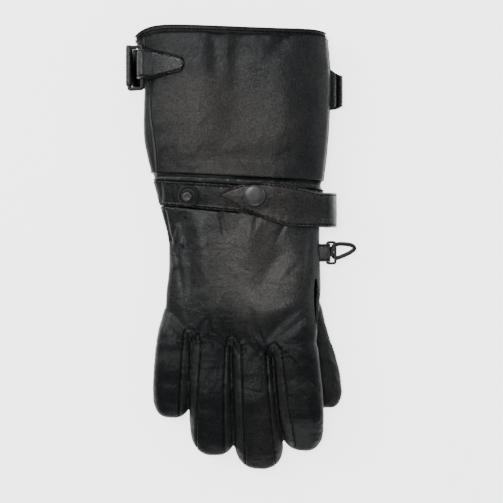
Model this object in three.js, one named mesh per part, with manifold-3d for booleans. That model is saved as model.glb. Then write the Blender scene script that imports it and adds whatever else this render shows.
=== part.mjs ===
// A right-hand leather riding gauntlet, lying palm down with the back of the hand up.
// Millimetres: +X to the thumb side, +Y to the cuff, +Z up from the surface it lies on.
// While it is built, y = 0 is the seam between the wrist and the hand, and x = 0 is the middle.

import * as THREE from 'three';
import { mergeVertices } from 'three/addons/utils/BufferGeometryUtils.js';
import Module from 'manifold-3d';

const wasm = await Module();
wasm.setup();

// Driving dimensions of the glove
const cuffLength = 106;
const wristLength = 26;
const palmLength = 91;
const fingerLength = 92;
const cuffWidth = 138;
const wristWidth = 115;
const palmWidth = 111;
const cuffHeight = 30;
const wristHeight = 26;
const palmHeight = 24;
const fingerHeight = 18;
const wall = 1.8;
const fourchetteShow = 7;
const crotchRise = 1.6; // of a fourchette's arch past the line of the finger roots
const foldDepth = 2.4;

// Thumb, which lies under the first finger
const thumbLength = 90;
const thumbWidth = 27.5;
const thumbHeight = 13;

// Hem binding and wrist band
const bindingWidth = 5;
const bindingProud = 0.9;
const gatherLength = 6;
const bandProud = 0.7;

// Wrist strap with its snap, and the spare snap stud
const strapWidth = 31;
const strapThickness = 2;
const strapStandOff = 11;
const snapDiameter = 15;
const snapHeight = 3.4;
const studPostDiameter = 6.6;
const studPostHeight = 3.6;

// Cuff strap, its ring and the tab that holds the ring
const cuffStrapWidth = 25;
const cuffStrapThickness = 1.6;
const cuffStrapBulge = 10.8;
const ringReach = 11.5;
const ringBar = 2.5;
const ringTilt = THREE.MathUtils.degToRad(32);
const ringSlide = 2.6; // towards the hand from the tab's line
const tabLength = 28;
const tabWidth = 20;
const tabThickness = 1.6;
const tabWrap = { from: 75, to: 285 }; // degrees round the ring's near bar

// Where the tab and the bulge of the cuff strap lie, as shares of cuffLength from the wrist seam
const tabShare = 0.753;
const bulgeShare = 0.604;

// Clip at the thumb side of the wrist
const clipTabWidth = 13;
const clipTabLength = 5.3;
const clipTabThickness = 1.2;
const clipRingBar = 1.6;
const clipLength = 15;
const clipWidth = 14.5;
const clipThickness = 3.8;
const clipArm = 2.6;

// Clearances
const seamGap = 0.3;
const restGap = 0.45;
const fingerGap = 0.7;
const ringClearance = 1.2;

// Section shape: 2 is an ellipse and more is fuller
const fullness = 2.35;
const fingerFullness = 2.5;
const flatShare = 0.1;

// The sleeve from the hem to the finger roots. along runs from the wrist seam to the hem on the
// cuff, up the wrist from the hand, and from the wrist down to the finger roots on the palm.
// left and right are shares of the width and tall a share of the height; skew is how far a
// section leans back to the thumb side, lift raises the thumb side by a share of the thumb's
// height, and sweep bends the sides of the hem back by a share of cuffLength.
const cuffRows = [
  { along: 1, left: -0.552, right: 0.444, tall: 1, skew: -0.04, lift: 0, sweep: 0.08 },
  { along: 0.8, left: -0.525, right: 0.46, tall: 0.97, skew: -0.02, lift: 0, sweep: 0.02 },
  { along: 0.63, left: -0.504, right: 0.463, tall: 0.94, skew: -0.01, lift: 0, sweep: 0 },
  { along: 0.38, left: -0.507, right: 0.457, tall: 0.9, skew: -0.01, lift: 0, sweep: 0 },
  { along: 0.2, left: -0.501, right: 0.446, tall: 0.88, skew: -0.03, lift: 0, sweep: 0 },
];
const wristRows = [
  { along: 1, left: -0.562, right: 0.512, tall: 0.98, skew: -0.05, lift: 0, sweep: 0 },
  { along: 0.45, left: -0.526, right: 0.505, tall: 1, skew: -0.07, lift: 0, sweep: 0 },
  { along: 0, left: -0.506, right: 0.496, tall: 0.96, skew: -0.09, lift: 0.05, sweep: 0 },
];
const palmRows = [
  { along: 0.25, left: -0.476, right: 0.51, tall: 1, skew: -0.1, lift: 0.15, sweep: 0 },
  { along: 0.5, left: -0.466, right: 0.513, tall: 0.98, skew: -0.12, lift: 0.4, sweep: 0 },
  { along: 0.75, left: -0.487, right: 0.498, tall: 0.92, skew: -0.15, lift: 0.85, sweep: 0 },
  { along: 1, left: -0.497, right: 0.48, tall: 0.82, skew: -0.165, lift: 1, sweep: 0 },
];
const sweepPower = { left: 8, right: 10 };
const sweepRight = 0.35;

// Where the back seam of the side gusset runs, in from the little-finger edge,
// as shares of the cuff's width; along is 0 at the wrist seam and 1 at the hem.
const gussetRows = [
  { along: 0, seam: 0.036 },
  { along: 0.2, seam: 0.058 },
  { along: 0.4, seam: 0.045 },
  { along: 0.62, seam: 0.032 },
  { along: 0.8, seam: 0.036 },
  { along: 1, seam: 0.056 },
];

// Folds and dents of the back. x and y are shares of the width and length of the cuff or the
// palm, angle is from +X, long and wide are shares of that width, and deep of foldDepth.
const cuffFolds = [
  { x: 0.02, y: 0.55, angle: 80, long: 0.5, wide: 0.16, deep: -0.8 },
  { x: 0.22, y: 0.45, angle: 95, long: 0.6, wide: 0.12, deep: 0.45 },
  { x: -0.22, y: 0.4, angle: 84, long: 0.6, wide: 0.13, deep: 0.5 },
  { x: -0.13, y: 0.84, angle: 92, long: 0.26, wide: 0.045, deep: -0.75 },
  { x: -0.02, y: 0.8, angle: 86, long: 0.3, wide: 0.05, deep: -0.6 },
  { x: 0.2, y: 0.88, angle: 50, long: 0.16, wide: 0.04, deep: -0.55 },
  { x: 0.05, y: 0.12, angle: 4, long: 0.6, wide: 0.07, deep: -0.55 },
];
const palmFolds = [
  { x: -0.36, y: 0.3, angle: 94, long: 0.5, wide: 0.06, deep: -0.7 },
  { x: -0.25, y: 0.32, angle: 96, long: 0.55, wide: 0.07, deep: 0.6 },
  { x: 0.06, y: 0.16, angle: 84, long: 0.3, wide: 0.06, deep: 0.7 },
  { x: 0.2, y: 0.42, angle: 66, long: 0.3, wide: 0.07, deep: -0.9 },
  { x: 0.3, y: 0.66, angle: 40, long: 0.4, wide: 0.06, deep: 0.7 },
  { x: 0.26, y: 0.8, angle: 35, long: 0.34, wide: 0.06, deep: -0.7 },
  { x: -0.1, y: 0.78, angle: 70, long: 0.3, wide: 0.08, deep: 0.4 },
];

// Fingers from the little one to the first. root and tip are shares of the palm's width from
// the middle, bow moves the finger's middle sideways, the wide columns are shares of the palm's
// width, long is a share of fingerLength, and arch and droop say how the underside runs, as
// shares of the finger's height and of its own length.
const fingers = [
  {
    root: -0.414, tip: -0.45, bow: -0.013,
    wideRoot: 0.184, wideMiddle: 0.226, wideTip: 0.23, long: 0.7, arch: 0.16, droop: 0.2,
  },
  {
    root: -0.19, tip: -0.174, bow: -0.012,
    wideRoot: 0.262, wideMiddle: 0.275, wideTip: 0.284, long: 0.95, arch: 0.22, droop: 0.2,
  },
  {
    root: 0.078, tip: 0.122, bow: -0.006,
    wideRoot: 0.262, wideMiddle: 0.279, wideTip: 0.298, long: 1, arch: 0.28, droop: 0.25,
  },
  {
    root: 0.345, tip: 0.41, bow: 0.005,
    wideRoot: 0.262, wideMiddle: 0.277, wideTip: 0.248, long: 0.805, arch: 0, droop: 0.6,
  },
];
const rootInset = 0.16;
const tipShare = 0.17;
const creases = [
  { along: 0.4, wide: 0.05, deep: 0.035 },
  { along: 0.66, wide: 0.05, deep: 0.04 },
];

// The thumb's middle line: x as a share of the palm's width and y as a share of thumbLength
// from the thumb's base, with its width and its rise off the floor as shares of its own
// width and height.
const thumbBase = -0.56 * palmLength;
const thumbRows = [
  { y: 0, x: 0.35, wide: 0.7, rise: 0.42 },
  { y: 0.16, x: 0.395, wide: 0.94, rise: 0.2 },
  { y: 0.38, x: 0.439, wide: 1, rise: 0 },
  { y: 0.5, x: 0.471, wide: 1, rise: 0 },
  { y: 0.68, x: 0.515, wide: 1, rise: 0 },
  { y: 1, x: 0.548, wide: 0.99, rise: 0 },
];

// Outline of the wrist strap: along is a share of its flat run from the point to the wrist's
// edge, low and high are shares of strapWidth on the finger side and the cuff side of its line.
const strapRows = [
  { along: 0, low: -0.02, high: 0.02 },
  { along: 0.06, low: -0.1, high: 0.07 },
  { along: 0.14, low: -0.19, high: 0.15 },
  { along: 0.25, low: -0.36, high: 0.24 },
  { along: 0.36, low: -0.48, high: 0.27 },
  { along: 0.5, low: -0.61, high: 0.27 },
  { along: 0.65, low: -0.72, high: 0.22 },
  { along: 0.82, low: -0.76, high: 0.13 },
  { along: 1, low: -0.756, high: 0.045 },
];

// The wrist strap's fold past the thumb edge: out is a share of the way from where it leaves
// the band to its nose, and z a share of the wrist's height, below the band or off the floor.
const strapFold = [
  { out: 0.55, below: 0.1 },
  { out: 0.87, below: 0.17 },
  { out: 1, floor: 0.52 },
  { out: 0.87, floor: 0.3 },
];

// Profiles of the snap cap and the stud, out from the middle of the underside and back to the
// axis. r is a share of the radius, post of the post's radius, and z of the height.
const capProfile = [
  { r: 0, z: 0 },
  { r: 0.9, z: 0 },
  { r: 1, z: 0.2 },
  { r: 1, z: 0.5 },
  { r: 0.94, z: 0.68 },
  { r: 0.86, z: 0.74 },
  { r: 0.82, z: 0.7 },
  { r: 0.6, z: 0.9 },
  { r: 0.3, z: 0.98 },
  { r: 0, z: 1 },
];
const studBase = 0.32;
const studRim = [
  { r: 0, z: 0 },
  { r: 1, z: 0 },
  { r: 1, z: 0.6 },
  { r: 0.93, z: 1 },
  { r: 0.8, z: 0.75 },
  { r: 0.7, z: 1 },
];
const studPost = [
  { r: 1, z: 0 },
  { r: 0.86, z: 0.35 },
  { r: 1, z: 0.7 },
  { r: 1, z: 0.88 },
  { r: 0.85, z: 1 },
  { r: 0, z: 1 },
];

// Outline of the clip's hook and of the opening in it: along is a share of clipLength from the
// ring's far bar, and across a share of clipWidth from the clip's line.
const hookOutline = [
  { along: 0.05, across: 0.31 },
  { along: 0.55, across: 0.33 },
  { along: 0.64, across: 0.275 },
  { along: 1, across: 0.11 },
  { along: 0.97, across: 0.04 },
  { along: 0.4, across: -0.31 },
  { along: 0.22, across: -0.45 },
  { along: 0.05, across: -0.35 },
];
const hookOpening = [
  { along: 0.3, across: 0.31, arm: 1 },
  { along: 0.5, across: 0.33, arm: 1 },
  { along: 0.74, across: 0.08, arm: 0 },
  { along: 0.42, across: -0.14, arm: 0 },
  { along: 0.3, across: -0.17, arm: 0 },
];

const leather = { colour: 0x1b1a1a, roughness: 0.55, metalness: 0 };
const softLeather = { colour: 0x161616, roughness: 0.62, metalness: 0 };
const gunmetal = { colour: 0x55565a, roughness: 0.35, metalness: 1 };
const darkMetal = { colour: 0x2b2b2d, roughness: 0.4, metalness: 1 };
const moulded = { colour: 0x0f0f10, roughness: 0.45, metalness: 0 };

// General helpers

function lerp(a, b, share) {
  return a + (b - a) * share;
}

function smooth(low, high, value) {
  return THREE.MathUtils.smoothstep(value, low, high);
}

function signedPower(value, power) {
  return Math.sign(value) * Math.abs(value) ** power;
}

function steps(count, from = 0, to = 1) {
  return Array.from({ length: count + 1 }, (_, i) => lerp(from, to, i / count));
}

// Smooth interpolation of every numeric column of a table by one of its columns.
function readTable(rows, key, at) {
  const rising = rows[0][key] < rows[rows.length - 1][key] ? rows : [...rows].reverse();
  let i = 0;
  while (i < rising.length - 2 && at > rising[i + 1][key]) {
    i += 1;
  }
  const before = rising[Math.max(i - 1, 0)];
  const low = rising[i];
  const high = rising[i + 1];
  const after = rising[Math.min(i + 2, rising.length - 1)];
  const span = high[key] - low[key];
  const share = THREE.MathUtils.clamp((at - low[key]) / span, 0, 1);
  const result = {};
  for (const column of Object.keys(low)) {
    if (typeof low[column] !== 'number') {
      continue;
    }
    const slopeLow = (high[column] - before[column]) / (high[key] - before[key]);
    const slopeHigh = (after[column] - low[column]) / (after[key] - low[key]);
    const s2 = share * share;
    const s3 = s2 * share;
    result[column] = (2 * s3 - 3 * s2 + 1) * low[column] + (s3 - 2 * s2 + share) * span * slopeLow
      + (3 * s2 - 2 * s3) * high[column] + (s3 - s2) * span * slopeHigh;
  }
  return result;
}

function meshOf(vertices, triangles) {
  const geometry = new THREE.BufferGeometry();
  geometry.setAttribute('position', new THREE.Float32BufferAttribute(vertices, 3));
  geometry.setIndex(triangles);
  return facingOut(geometry);
}

// Turns the faces round where the solid came out inside out.
function facingOut(geometry) {
  const position = geometry.attributes.position;
  const index = geometry.index.array;
  const corners = [new THREE.Vector3(), new THREE.Vector3(), new THREE.Vector3()];
  let volume = 0;
  for (let i = 0; i < index.length; i += 3) {
    corners.forEach((corner, k) => corner.fromBufferAttribute(position, index[i + k]));
    volume += corners[0].dot(corners[1].clone().cross(corners[2]));
  }
  if (volume < 0) {
    const turned = [];
    for (let i = 0; i < index.length; i += 3) {
      turned.push(index[i], index[i + 2], index[i + 1]);
    }
    geometry.setIndex(turned);
  }
  return geometry;
}

// A closed sheet between two grids of points with the same rows and columns.
// around joins the last column to the first, which makes a tube with two rims.
function sheetSolid(outer, inner, around) {
  const rows = outer.length;
  const columns = outer[0].length;
  const vertices = [...outer.flat(), ...inner.flat()].flatMap((point) => point.toArray());
  const triangles = [];
  const outside = (r, c) => r * columns + (c % columns);
  const inside = (r, c) => rows * columns + outside(r, c);
  const quad = (a, b, c, d) => triangles.push(a, b, c, a, c, d);
  const across = around ? columns : columns - 1;
  for (let r = 0; r < rows - 1; r += 1) {
    for (let c = 0; c < across; c += 1) {
      quad(outside(r, c), outside(r, c + 1), outside(r + 1, c + 1), outside(r + 1, c));
      quad(inside(r, c), inside(r + 1, c), inside(r + 1, c + 1), inside(r, c + 1));
    }
    if (!around) {
      quad(outside(r, 0), outside(r + 1, 0), inside(r + 1, 0), inside(r, 0));
      const last = columns - 1;
      quad(outside(r + 1, last), outside(r, last), inside(r, last), inside(r + 1, last));
    }
  }
  for (let c = 0; c < across; c += 1) {
    quad(outside(0, c + 1), outside(0, c), inside(0, c), inside(0, c + 1));
    quad(outside(rows - 1, c), outside(rows - 1, c + 1), inside(rows - 1, c + 1), inside(rows - 1, c));
  }
  return meshOf(vertices, triangles);
}

// A closed solid through rings of points, with a flat cap at each end.
function loftSolid(rings) {
  const sides = rings[0].length;
  const vertices = rings.flat().flatMap((point) => point.toArray());
  const triangles = [];
  for (let r = 0; r < rings.length - 1; r += 1) {
    for (let c = 0; c < sides; c += 1) {
      const next = (c + 1) % sides;
      const a = r * sides;
      const b = a + sides;
      triangles.push(a + c, a + next, b + next, a + c, b + next, b + c);
    }
  }
  for (const [ring, turn] of [[0, 1], [rings.length - 1, 0]]) {
    const middle = new THREE.Vector3();
    rings[ring].forEach((point) => middle.addScaledVector(point, 1 / sides));
    const centre = vertices.length / 3;
    vertices.push(...middle.toArray());
    for (let c = 0; c < sides; c += 1) {
      const pair = [ring * sides + c, ring * sides + (c + 1) % sides];
      triangles.push(centre, pair[turn], pair[1 - turn]);
    }
  }
  return meshOf(vertices, triangles);
}

// Solids that are joined or cut

function solidOf(geometry) {
  const bare = geometry.clone();
  bare.deleteAttribute('normal');
  bare.deleteAttribute('uv');
  const merged = mergeVertices(bare, 1e-4);
  const vertProperties = new Float32Array(merged.attributes.position.array);
  const triVerts = new Uint32Array(merged.index.array);
  return new wasm.Manifold(new wasm.Mesh({ numProp: 3, vertProperties, triVerts }));
}

function geometryOf(solid) {
  const mesh = solid.getMesh();
  const geometry = new THREE.BufferGeometry();
  geometry.setAttribute('position', new THREE.Float32BufferAttribute(mesh.vertProperties, 3));
  geometry.setIndex(Array.from(mesh.triVerts));
  return geometry;
}

function joined(solids) {
  return solids.reduce((whole, next) => whole.add(next));
}

// An upright prism over an outline in plan.
function prism(outline, low, high) {
  const shape = new THREE.Shape(outline);
  const geometry = new THREE.ExtrudeGeometry(shape, { depth: high - low, bevelEnabled: false });
  return geometry.translate(0, 0, low);
}

// The sleeve: one skin from the hem to the finger roots

const hemLine = wristLength + cuffLength;
const cuffFloor = cuffStrapThickness + 2 * seamGap;

// The rows of one part of the sleeve in millimetres.
function sized(rows, start, length, width, height) {
  return rows.map((row) => ({
    y: start + row.along * length,
    left: row.left * width,
    right: row.right * width,
    tall: row.tall * height,
    skew: row.skew,
    lift: row.lift * (thumbHeight + restGap),
    sweep: row.sweep * cuffLength,
  }));
}

const sleeveRows = [
  ...sized(cuffRows, wristLength, cuffLength, cuffWidth, cuffHeight),
  ...sized(wristRows, 0, wristLength, wristWidth, wristHeight),
  ...sized(palmRows, 0, -palmLength, palmWidth, palmHeight),
];

function sleeveSection(y) {
  const section = readTable(sleeveRows, 'y', y);
  section.floor = cuffFloor * smooth(0, wristLength, y);
  section.middle = (section.left + section.right) / 2;
  section.half = (section.right - section.left) / 2;
  return section;
}

// How far a section runs back towards the wrist at a place across it.
function backAt(section, x) {
  const share = THREE.MathUtils.clamp((x - section.middle) / section.half, -1, 1);
  const power = share < 0 ? sweepPower.left : sweepPower.right;
  const sweep = section.sweep * (share < 0 ? 1 : sweepRight) * Math.abs(share) ** power;
  return sweep - section.skew * (x - section.middle);
}

function liftAt(section, x) {
  const share = (x - section.left) / (section.right - section.left);
  return section.lift * smooth(0.4, 0.95, share);
}

function foldAt(x, y) {
  const onCuff = y > wristLength;
  const onPalm = y < 0;
  if (!onCuff && !onPalm) {
    return 0;
  }
  const folds = onCuff ? cuffFolds : palmFolds;
  const width = onCuff ? cuffWidth : palmWidth;
  const length = onCuff ? cuffLength : palmLength;
  const start = onCuff ? wristLength : 0;
  const away = Math.abs(y - start);
  let depth = 0;
  for (const fold of folds) {
    const turn = THREE.MathUtils.degToRad(fold.angle);
    const dx = x - fold.x * width;
    const dy = y - start - fold.y * length * (onCuff ? 1 : -1);
    const along = dx * Math.cos(turn) + dy * Math.sin(turn);
    const across = dy * Math.cos(turn) - dx * Math.sin(turn);
    const reach = Math.exp(-((2 * along / (fold.long * width)) ** 2));
    depth += fold.deep * reach * Math.exp(-((across / (fold.wide * width)) ** 2));
  }
  const ends = smooth(0, 0.12 * length, away) * smooth(0, 0.08 * length, length - away);
  return depth * foldDepth * ends;
}

// A point of the skin: turn is 0 at the thumb edge, a quarter at the top and a half at the
// little-finger edge; depth goes into the leather, and below 0 it stands proud.
function sleevePoint(y, turn, depth) {
  const section = sleeveSection(y);
  const angle = turn * 2 * Math.PI;
  const flat = flatShare * section.tall;
  const upper = section.tall / 2;
  const c = Math.cos(angle);
  const s = Math.sin(angle);
  const x = section.middle + (section.half - depth) * signedPower(c, 2 / fullness);
  const reach = s > 0 ? upper - depth : upper + flat - depth;
  const round = section.floor + upper + reach * signedPower(s, 2 / fullness);
  const rest = Math.max(round, section.floor + Math.max(depth, 0));
  const fold = foldAt(x, y) * Math.sqrt(Math.max(s, 0));
  const z = rest + liftAt(section, x) + fold;
  return new THREE.Vector3(x, y - backAt(section, x), z);
}

// Height of the skin's upper side above a place in plan.
function topHeight(x, y, proud = 0) {
  let line = y;
  for (let i = 0; i < 4; i += 1) {
    line = y + backAt(sleeveSection(line), x);
  }
  const section = sleeveSection(line);
  const share = THREE.MathUtils.clamp((x - section.middle) / (section.half + proud), -0.999, 0.999);
  const c = signedPower(share, fullness / 2);
  return sleevePoint(line, Math.acos(c) / (2 * Math.PI), -proud).z;
}

// Height that clears the skin's upper side by a distance square to its slope.
function heightClear(x, y, distance, proud = 0) {
  const small = 0.5;
  const slope = (topHeight(x + small, y, proud) - topHeight(x - small, y, proud)) / (2 * small);
  return topHeight(x, y, proud) + distance * Math.hypot(1, slope);
}

// Turn of a seam that lies a given distance in from the little-finger edge, on the top.
function turnFromEdge(y, distance) {
  const section = sleeveSection(y);
  const share = Math.max(1 - distance / section.half, 0);
  return (Math.PI - Math.acos(share ** (fullness / 2))) / (2 * Math.PI);
}

function turnStep(y, turn, length) {
  const small = 1e-3;
  const reach = sleevePoint(y, turn, 0).distanceTo(sleevePoint(y, turn + small, 0));
  return length * small / reach;
}

// A panel of the sleeve between two lines and two turns, which may change along it.
function panel(lines, from, to, columns, proud = 0) {
  const skin = (depth) => lines.map((y) => steps(columns).map(
    (share) => sleevePoint(y, lerp(from(y), to(y), share), depth)));
  return sheetSolid(skin(-proud), skin(wall), false);
}

function tube(lines, sides, proud) {
  const skin = (depth) => lines.map((y, i) => steps(sides).slice(0, -1).map(
    (turn) => sleevePoint(y, turn, depth(i))));
  return sheetSolid(skin((i) => -proud(i)), skin(() => wall), true);
}

// Cuff: a back, a palm side and a narrow gusset down the little-finger edge

const cuffLines = steps(8, wristLength + seamGap, hemLine - bindingWidth);
const thumbEdgeTurn = -0.012;
const gussetBackTurn = (y) => {
  const seam = readTable(gussetRows, 'along', (y - wristLength) / cuffLength).seam;
  return turnFromEdge(y, seam * cuffWidth);
};
const gussetPalmTurn = () => 0.54;

function cuffBack() {
  const last = (y) => gussetBackTurn(y) - turnStep(y, gussetBackTurn(y), seamGap);
  return panel(cuffLines, () => thumbEdgeTurn, last, 18);
}

function cuffGusset() {
  return panel(cuffLines, gussetBackTurn, gussetPalmTurn, 3);
}

function cuffPalm() {
  const first = (y) => gussetPalmTurn() + turnStep(y, gussetPalmTurn(), seamGap);
  const last = (y) => 1 + thumbEdgeTurn - turnStep(y, thumbEdgeTurn, seamGap);
  return panel(cuffLines, first, last, 12);
}

// Hem binding: a rolled edge all round the mouth, proud of the cuff on both sides.
function cuffBinding() {
  const bulge = [0.2, 0.95, 0.95, 0.25];
  const lines = steps(bulge.length - 1, hemLine - bindingWidth + 1.5 * seamGap, hemLine);
  return tube(lines, 28, (i) => bulge[i] * bindingProud);
}

// Wrist: a gathered strip and a smooth band, both all round

function wristGather() {
  const puff = [0.2, 1, 1, 0.2];
  const start = wristLength - gatherLength;
  const lines = steps(puff.length - 1, start + seamGap, wristLength);
  return tube(lines, 28, (i) => puff[i] * bandProud);
}

function wristBand() {
  const lines = steps(2, seamGap, wristLength - gatherLength);
  return tube(lines, 30, () => bandProud);
}

// Hand: one skin of palm and four fingers, cut along its seams

const crotchSection = sleeveSection(-palmLength);

function crotchLine(x) {
  return -palmLength + crotchSection.skew * (x - crotchSection.middle);
}

function fingerFrame(finger) {
  const rootX = finger.root * palmWidth;
  const tipX = finger.tip * palmWidth;
  const long = finger.long * fingerLength;
  const inset = rootInset * palmLength;
  const at = (share) => {
    const y = crotchLine(rootX) + inset - share * (long + inset);
    const bow = finger.bow * palmWidth * Math.sin(Math.PI * share);
    return { x: lerp(rootX, tipX, share) + bow, y };
  };
  const width = (share) => {
    const rows = [
      { share: 0, wide: finger.wideRoot },
      { share: 0.5, wide: finger.wideMiddle },
      { share: 1, wide: finger.wideTip },
    ];
    return readTable(rows, 'share', share).wide * palmWidth - fingerGap;
  };
  const under = (share) => {
    const place = at(share);
    const onPalm = place.y > crotchLine(rootX);
    const lift = liftAt(onPalm ? sleeveSection(place.y) : crotchSection, rootX);
    const drop = 1 - smooth(finger.droop, 1, share);
    const arch = finger.arch * fingerHeight * Math.sin(Math.PI * smooth(0.12, 1, share));
    return lift * drop + arch;
  };
  return { at, width, under, long, inset };
}

// Where the end of a finger is rounded: 1 along its length and 0 at the very tip.
function tipRound(share) {
  const into = Math.max((share - (1 - tipShare)) / tipShare, 0);
  return Math.sqrt(Math.max(1 - into ** 2.4, 0));
}

function fingerSolid(finger, depth, sides) {
  const frame = fingerFrame(finger);
  const whole = frame.long + frame.inset;
  const last = 1 - depth / whole;
  const shares = [0, 0.16, 0.4, 0.6, 0.8, 0.9, 0.96, 0.997].map((s) => s * last);
  const rings = shares.map((share) => {
    const place = frame.at(share);
    const round = tipRound(share / last);
    const rootShare = Math.min(share * whole / frame.inset, 1);
    const wide = frame.width(share) * (0.25 + 0.75 * round) * lerp(0.86, 1, rootShare);
    const half = Math.max(wide / 2 - depth, 0.4);
    const tall = fingerHeight * lerp(0.84, 1.04, rootShare) * lerp(1, 0.88, share);
    const upper = Math.max(tall / 2 * (0.3 + 0.7 * round) - depth, 0.4);
    const middle = frame.under(share) + tall / 2;
    const floor = frame.under(share) + depth;
    const crease = creases.reduce((sum, row) => sum
      + row.deep * fingerHeight * Math.exp(-(((share - row.along) / row.wide) ** 2)), 0);
    return steps(sides).slice(0, -1).map((turn) => {
      const angle = turn * 2 * Math.PI;
      const c = signedPower(Math.cos(angle), 2 / fingerFullness);
      const s = signedPower(Math.sin(angle), 2 / fingerFullness);
      const flat = s < 0 ? flatShare * tall : 0;
      const z = Math.max(middle + (upper + flat) * s, floor) - crease * Math.max(s, 0);
      return new THREE.Vector3(place.x + half * c, place.y, z);
    });
  });
  return solidOf(loftSolid(rings));
}

function palmSolid(depth, sides) {
  const start = depth > 0 ? wristLength / 2 : 0;
  const lines = steps(7, start, -palmLength + Math.max(depth, 0));
  const rings = lines.map((y) => steps(sides).slice(0, -1).map((turn) => sleevePoint(y, turn, depth)));
  return solidOf(loftSolid(rings));
}

function thumbSolid(depth, sides) {
  const last = 1 - depth / thumbLength;
  const rings = [0, 0.2, 0.42, 0.64, 0.82, 0.92, 0.997].map((s) => {
    const share = s * last;
    const row = readTable(thumbRows, 'y', share);
    const round = tipRound(s);
    const half = row.wide * thumbWidth / 2 * (0.25 + 0.75 * round) - depth;
    const upper = thumbHeight / 2 * (0.4 + 0.6 * round) - depth;
    return steps(sides).slice(0, -1).map((turn) => {
      const angle = turn * 2 * Math.PI;
      const x = row.x * palmWidth + half * signedPower(Math.cos(angle), 2 / fingerFullness);
      const sine = signedPower(Math.sin(angle), 2 / fingerFullness);
      const rise = Math.max(row.rise, 0) * thumbHeight;
      const z = thumbHeight / 2 + rise + (upper + (sine < 0 ? flatShare * thumbHeight : 0)) * sine;
      return new THREE.Vector3(x, thumbBase - share * thumbLength, Math.max(z, rise + depth));
    });
  });
  return solidOf(loftSolid(rings));
}

// The seam line between a finger's panel and the fourchette beside it, in plan.
function fingerSeam(finger, side, shown) {
  const frame = fingerFrame(finger);
  const start = (frame.inset + 0.1 * frame.long) / (frame.inset + frame.long);
  return steps(4, start, 1.08).map((share) => {
    const place = frame.at(share);
    const half = frame.width(Math.min(share, 1)) / 2 - shown;
    return new THREE.Vector2(place.x + side * half, place.y);
  });
}

// The plan of one fourchette: a round arch at the crotch, then down both sides of the gap
// between two fingers.
function fourchettePlan(left, right, spread) {
  const down = fingerSeam(left, 1, fourchetteShow + spread);
  const up = fingerSeam(right, -1, fourchetteShow + spread).reverse();
  const middle = down[0].clone().lerp(up[up.length - 1], 0.5);
  const half = up[up.length - 1].clone().sub(middle);
  const rise = crotchLine(middle.x) + crotchRise + spread - middle.y;
  const arch = steps(4, 0, Math.PI).slice(1, -1).map((angle) => new THREE.Vector2(
    middle.x + half.x * Math.cos(angle), middle.y + half.y * Math.cos(angle) + rise * Math.sin(angle)));
  const low = Math.min(down[down.length - 1].y, up[0].y);
  down[down.length - 1].y = low;
  up[0].y = low;
  return [...arch, ...down, ...up];
}

// Height of the side seam that parts the back from the palm, above a place in plan.
function sideSeamHeight(x, y) {
  const beyond = THREE.MathUtils.clamp(y, -palmLength, wristLength);
  const section = sleeveSection(beyond);
  const palm = section.floor + section.tall * 0.48 + liftAt(section, x);
  const rows = fingers.map((finger) => {
    const frame = fingerFrame(finger);
    const start = crotchLine(finger.root * palmWidth);
    const share = THREE.MathUtils.clamp((start + frame.inset - y) / (frame.long + frame.inset), 0, 1);
    return { x: frame.at(share).x, z: frame.under(share) + fingerHeight * 0.48 };
  });
  let z = rows[0].z;
  for (let i = 0; i < rows.length - 1; i += 1) {
    const share = THREE.MathUtils.clamp((x - rows[i].x) / (rows[i + 1].x - rows[i].x), 0, 1);
    z = lerp(z, rows[i + 1].z, share);
  }
  const onPalm = smooth(-palmLength * 1.05, -palmLength * 0.8, y);
  return lerp(z, palm, onPalm);
}

// A block that reaches from the side seam up or down past the glove.
function seamBlock(side) {
  const reach = palmWidth;
  const low = -palmLength - 1.3 * fingerLength;
  const far = side * 3 * palmHeight;
  const grid = (height) => steps(12, low, wristLength).map(
    (y) => steps(8, -reach, reach).map((x) => new THREE.Vector3(x, y, height(x, y))));
  const seam = grid((x, y) => sideSeamHeight(x, y) + side * seamGap / 2);
  const end = grid(() => far);
  return solidOf(sheetSolid(seam, end, false));
}

function handPieces() {
  const palmSides = 26;
  const sides = 12;
  const form = (depth) => joined([
    palmSolid(depth, palmSides),
    ...fingers.map((finger) => fingerSolid(finger, depth, sides)),
  ]);
  const thumbOuter = thumbSolid(0, 14);
  const skin = form(0).subtract(form(wall)).subtract(thumbOuter);
  const thumb = thumbOuter.subtract(thumbSolid(wall, 14)).subtract(form(-seamGap));
  const plans = (spread) => [0, 1, 2].map((i) => fourchettePlan(fingers[i], fingers[i + 1], spread));
  const high = 4 * palmHeight;
  const zones = plans(0).map((plan) => solidOf(prism(plan, -high, high)));
  const wide = plans(seamGap).map((plan) => solidOf(prism(plan, -high, high)));
  const fourchettes = zones.map((zone) => skin.intersect(zone));
  const panels = wide.reduce((rest, zone) => rest.subtract(zone), skin);
  return {
    back: panels.intersect(seamBlock(1)),
    palm: panels.intersect(seamBlock(-1)),
    fourchettes,
    thumb,
  };
}

// Straps

// A band of leather along a path. Each column is a line of places on its near side,
// and the far side stands off square to the path.
function strapSolid(columns, thickness, side) {
  const near = columns;
  const far = columns.map((line) => line.map((point, i) => {
    const before = line[Math.max(i - 1, 0)];
    const after = line[Math.min(i + 1, line.length - 1)];
    const run = new THREE.Vector2(after.x - before.x, after.z - before.z).normalize();
    return new THREE.Vector3(point.x - side * run.y * thickness, point.y, point.z + side * run.x * thickness);
  }));
  return sheetSolid(near, far, false);
}

function arc(middle, radius, from, to, count) {
  return steps(count, from, to).map((degrees) => {
    const angle = THREE.MathUtils.degToRad(degrees);
    return { x: middle.x + radius * Math.cos(angle), z: middle.z + radius * Math.sin(angle) };
  });
}

// The wrist strap: from its point across the back of the wrist, out past the thumb edge,
// and folded back to that edge.
const strapLine = 0.5 * wristLength;
const strapPointX = -0.153 * wristWidth;
const strapLeaveX = 0.36 * wristWidth;
const strapNoseX = sleeveSection(strapLine).right + strapStandOff;

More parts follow.
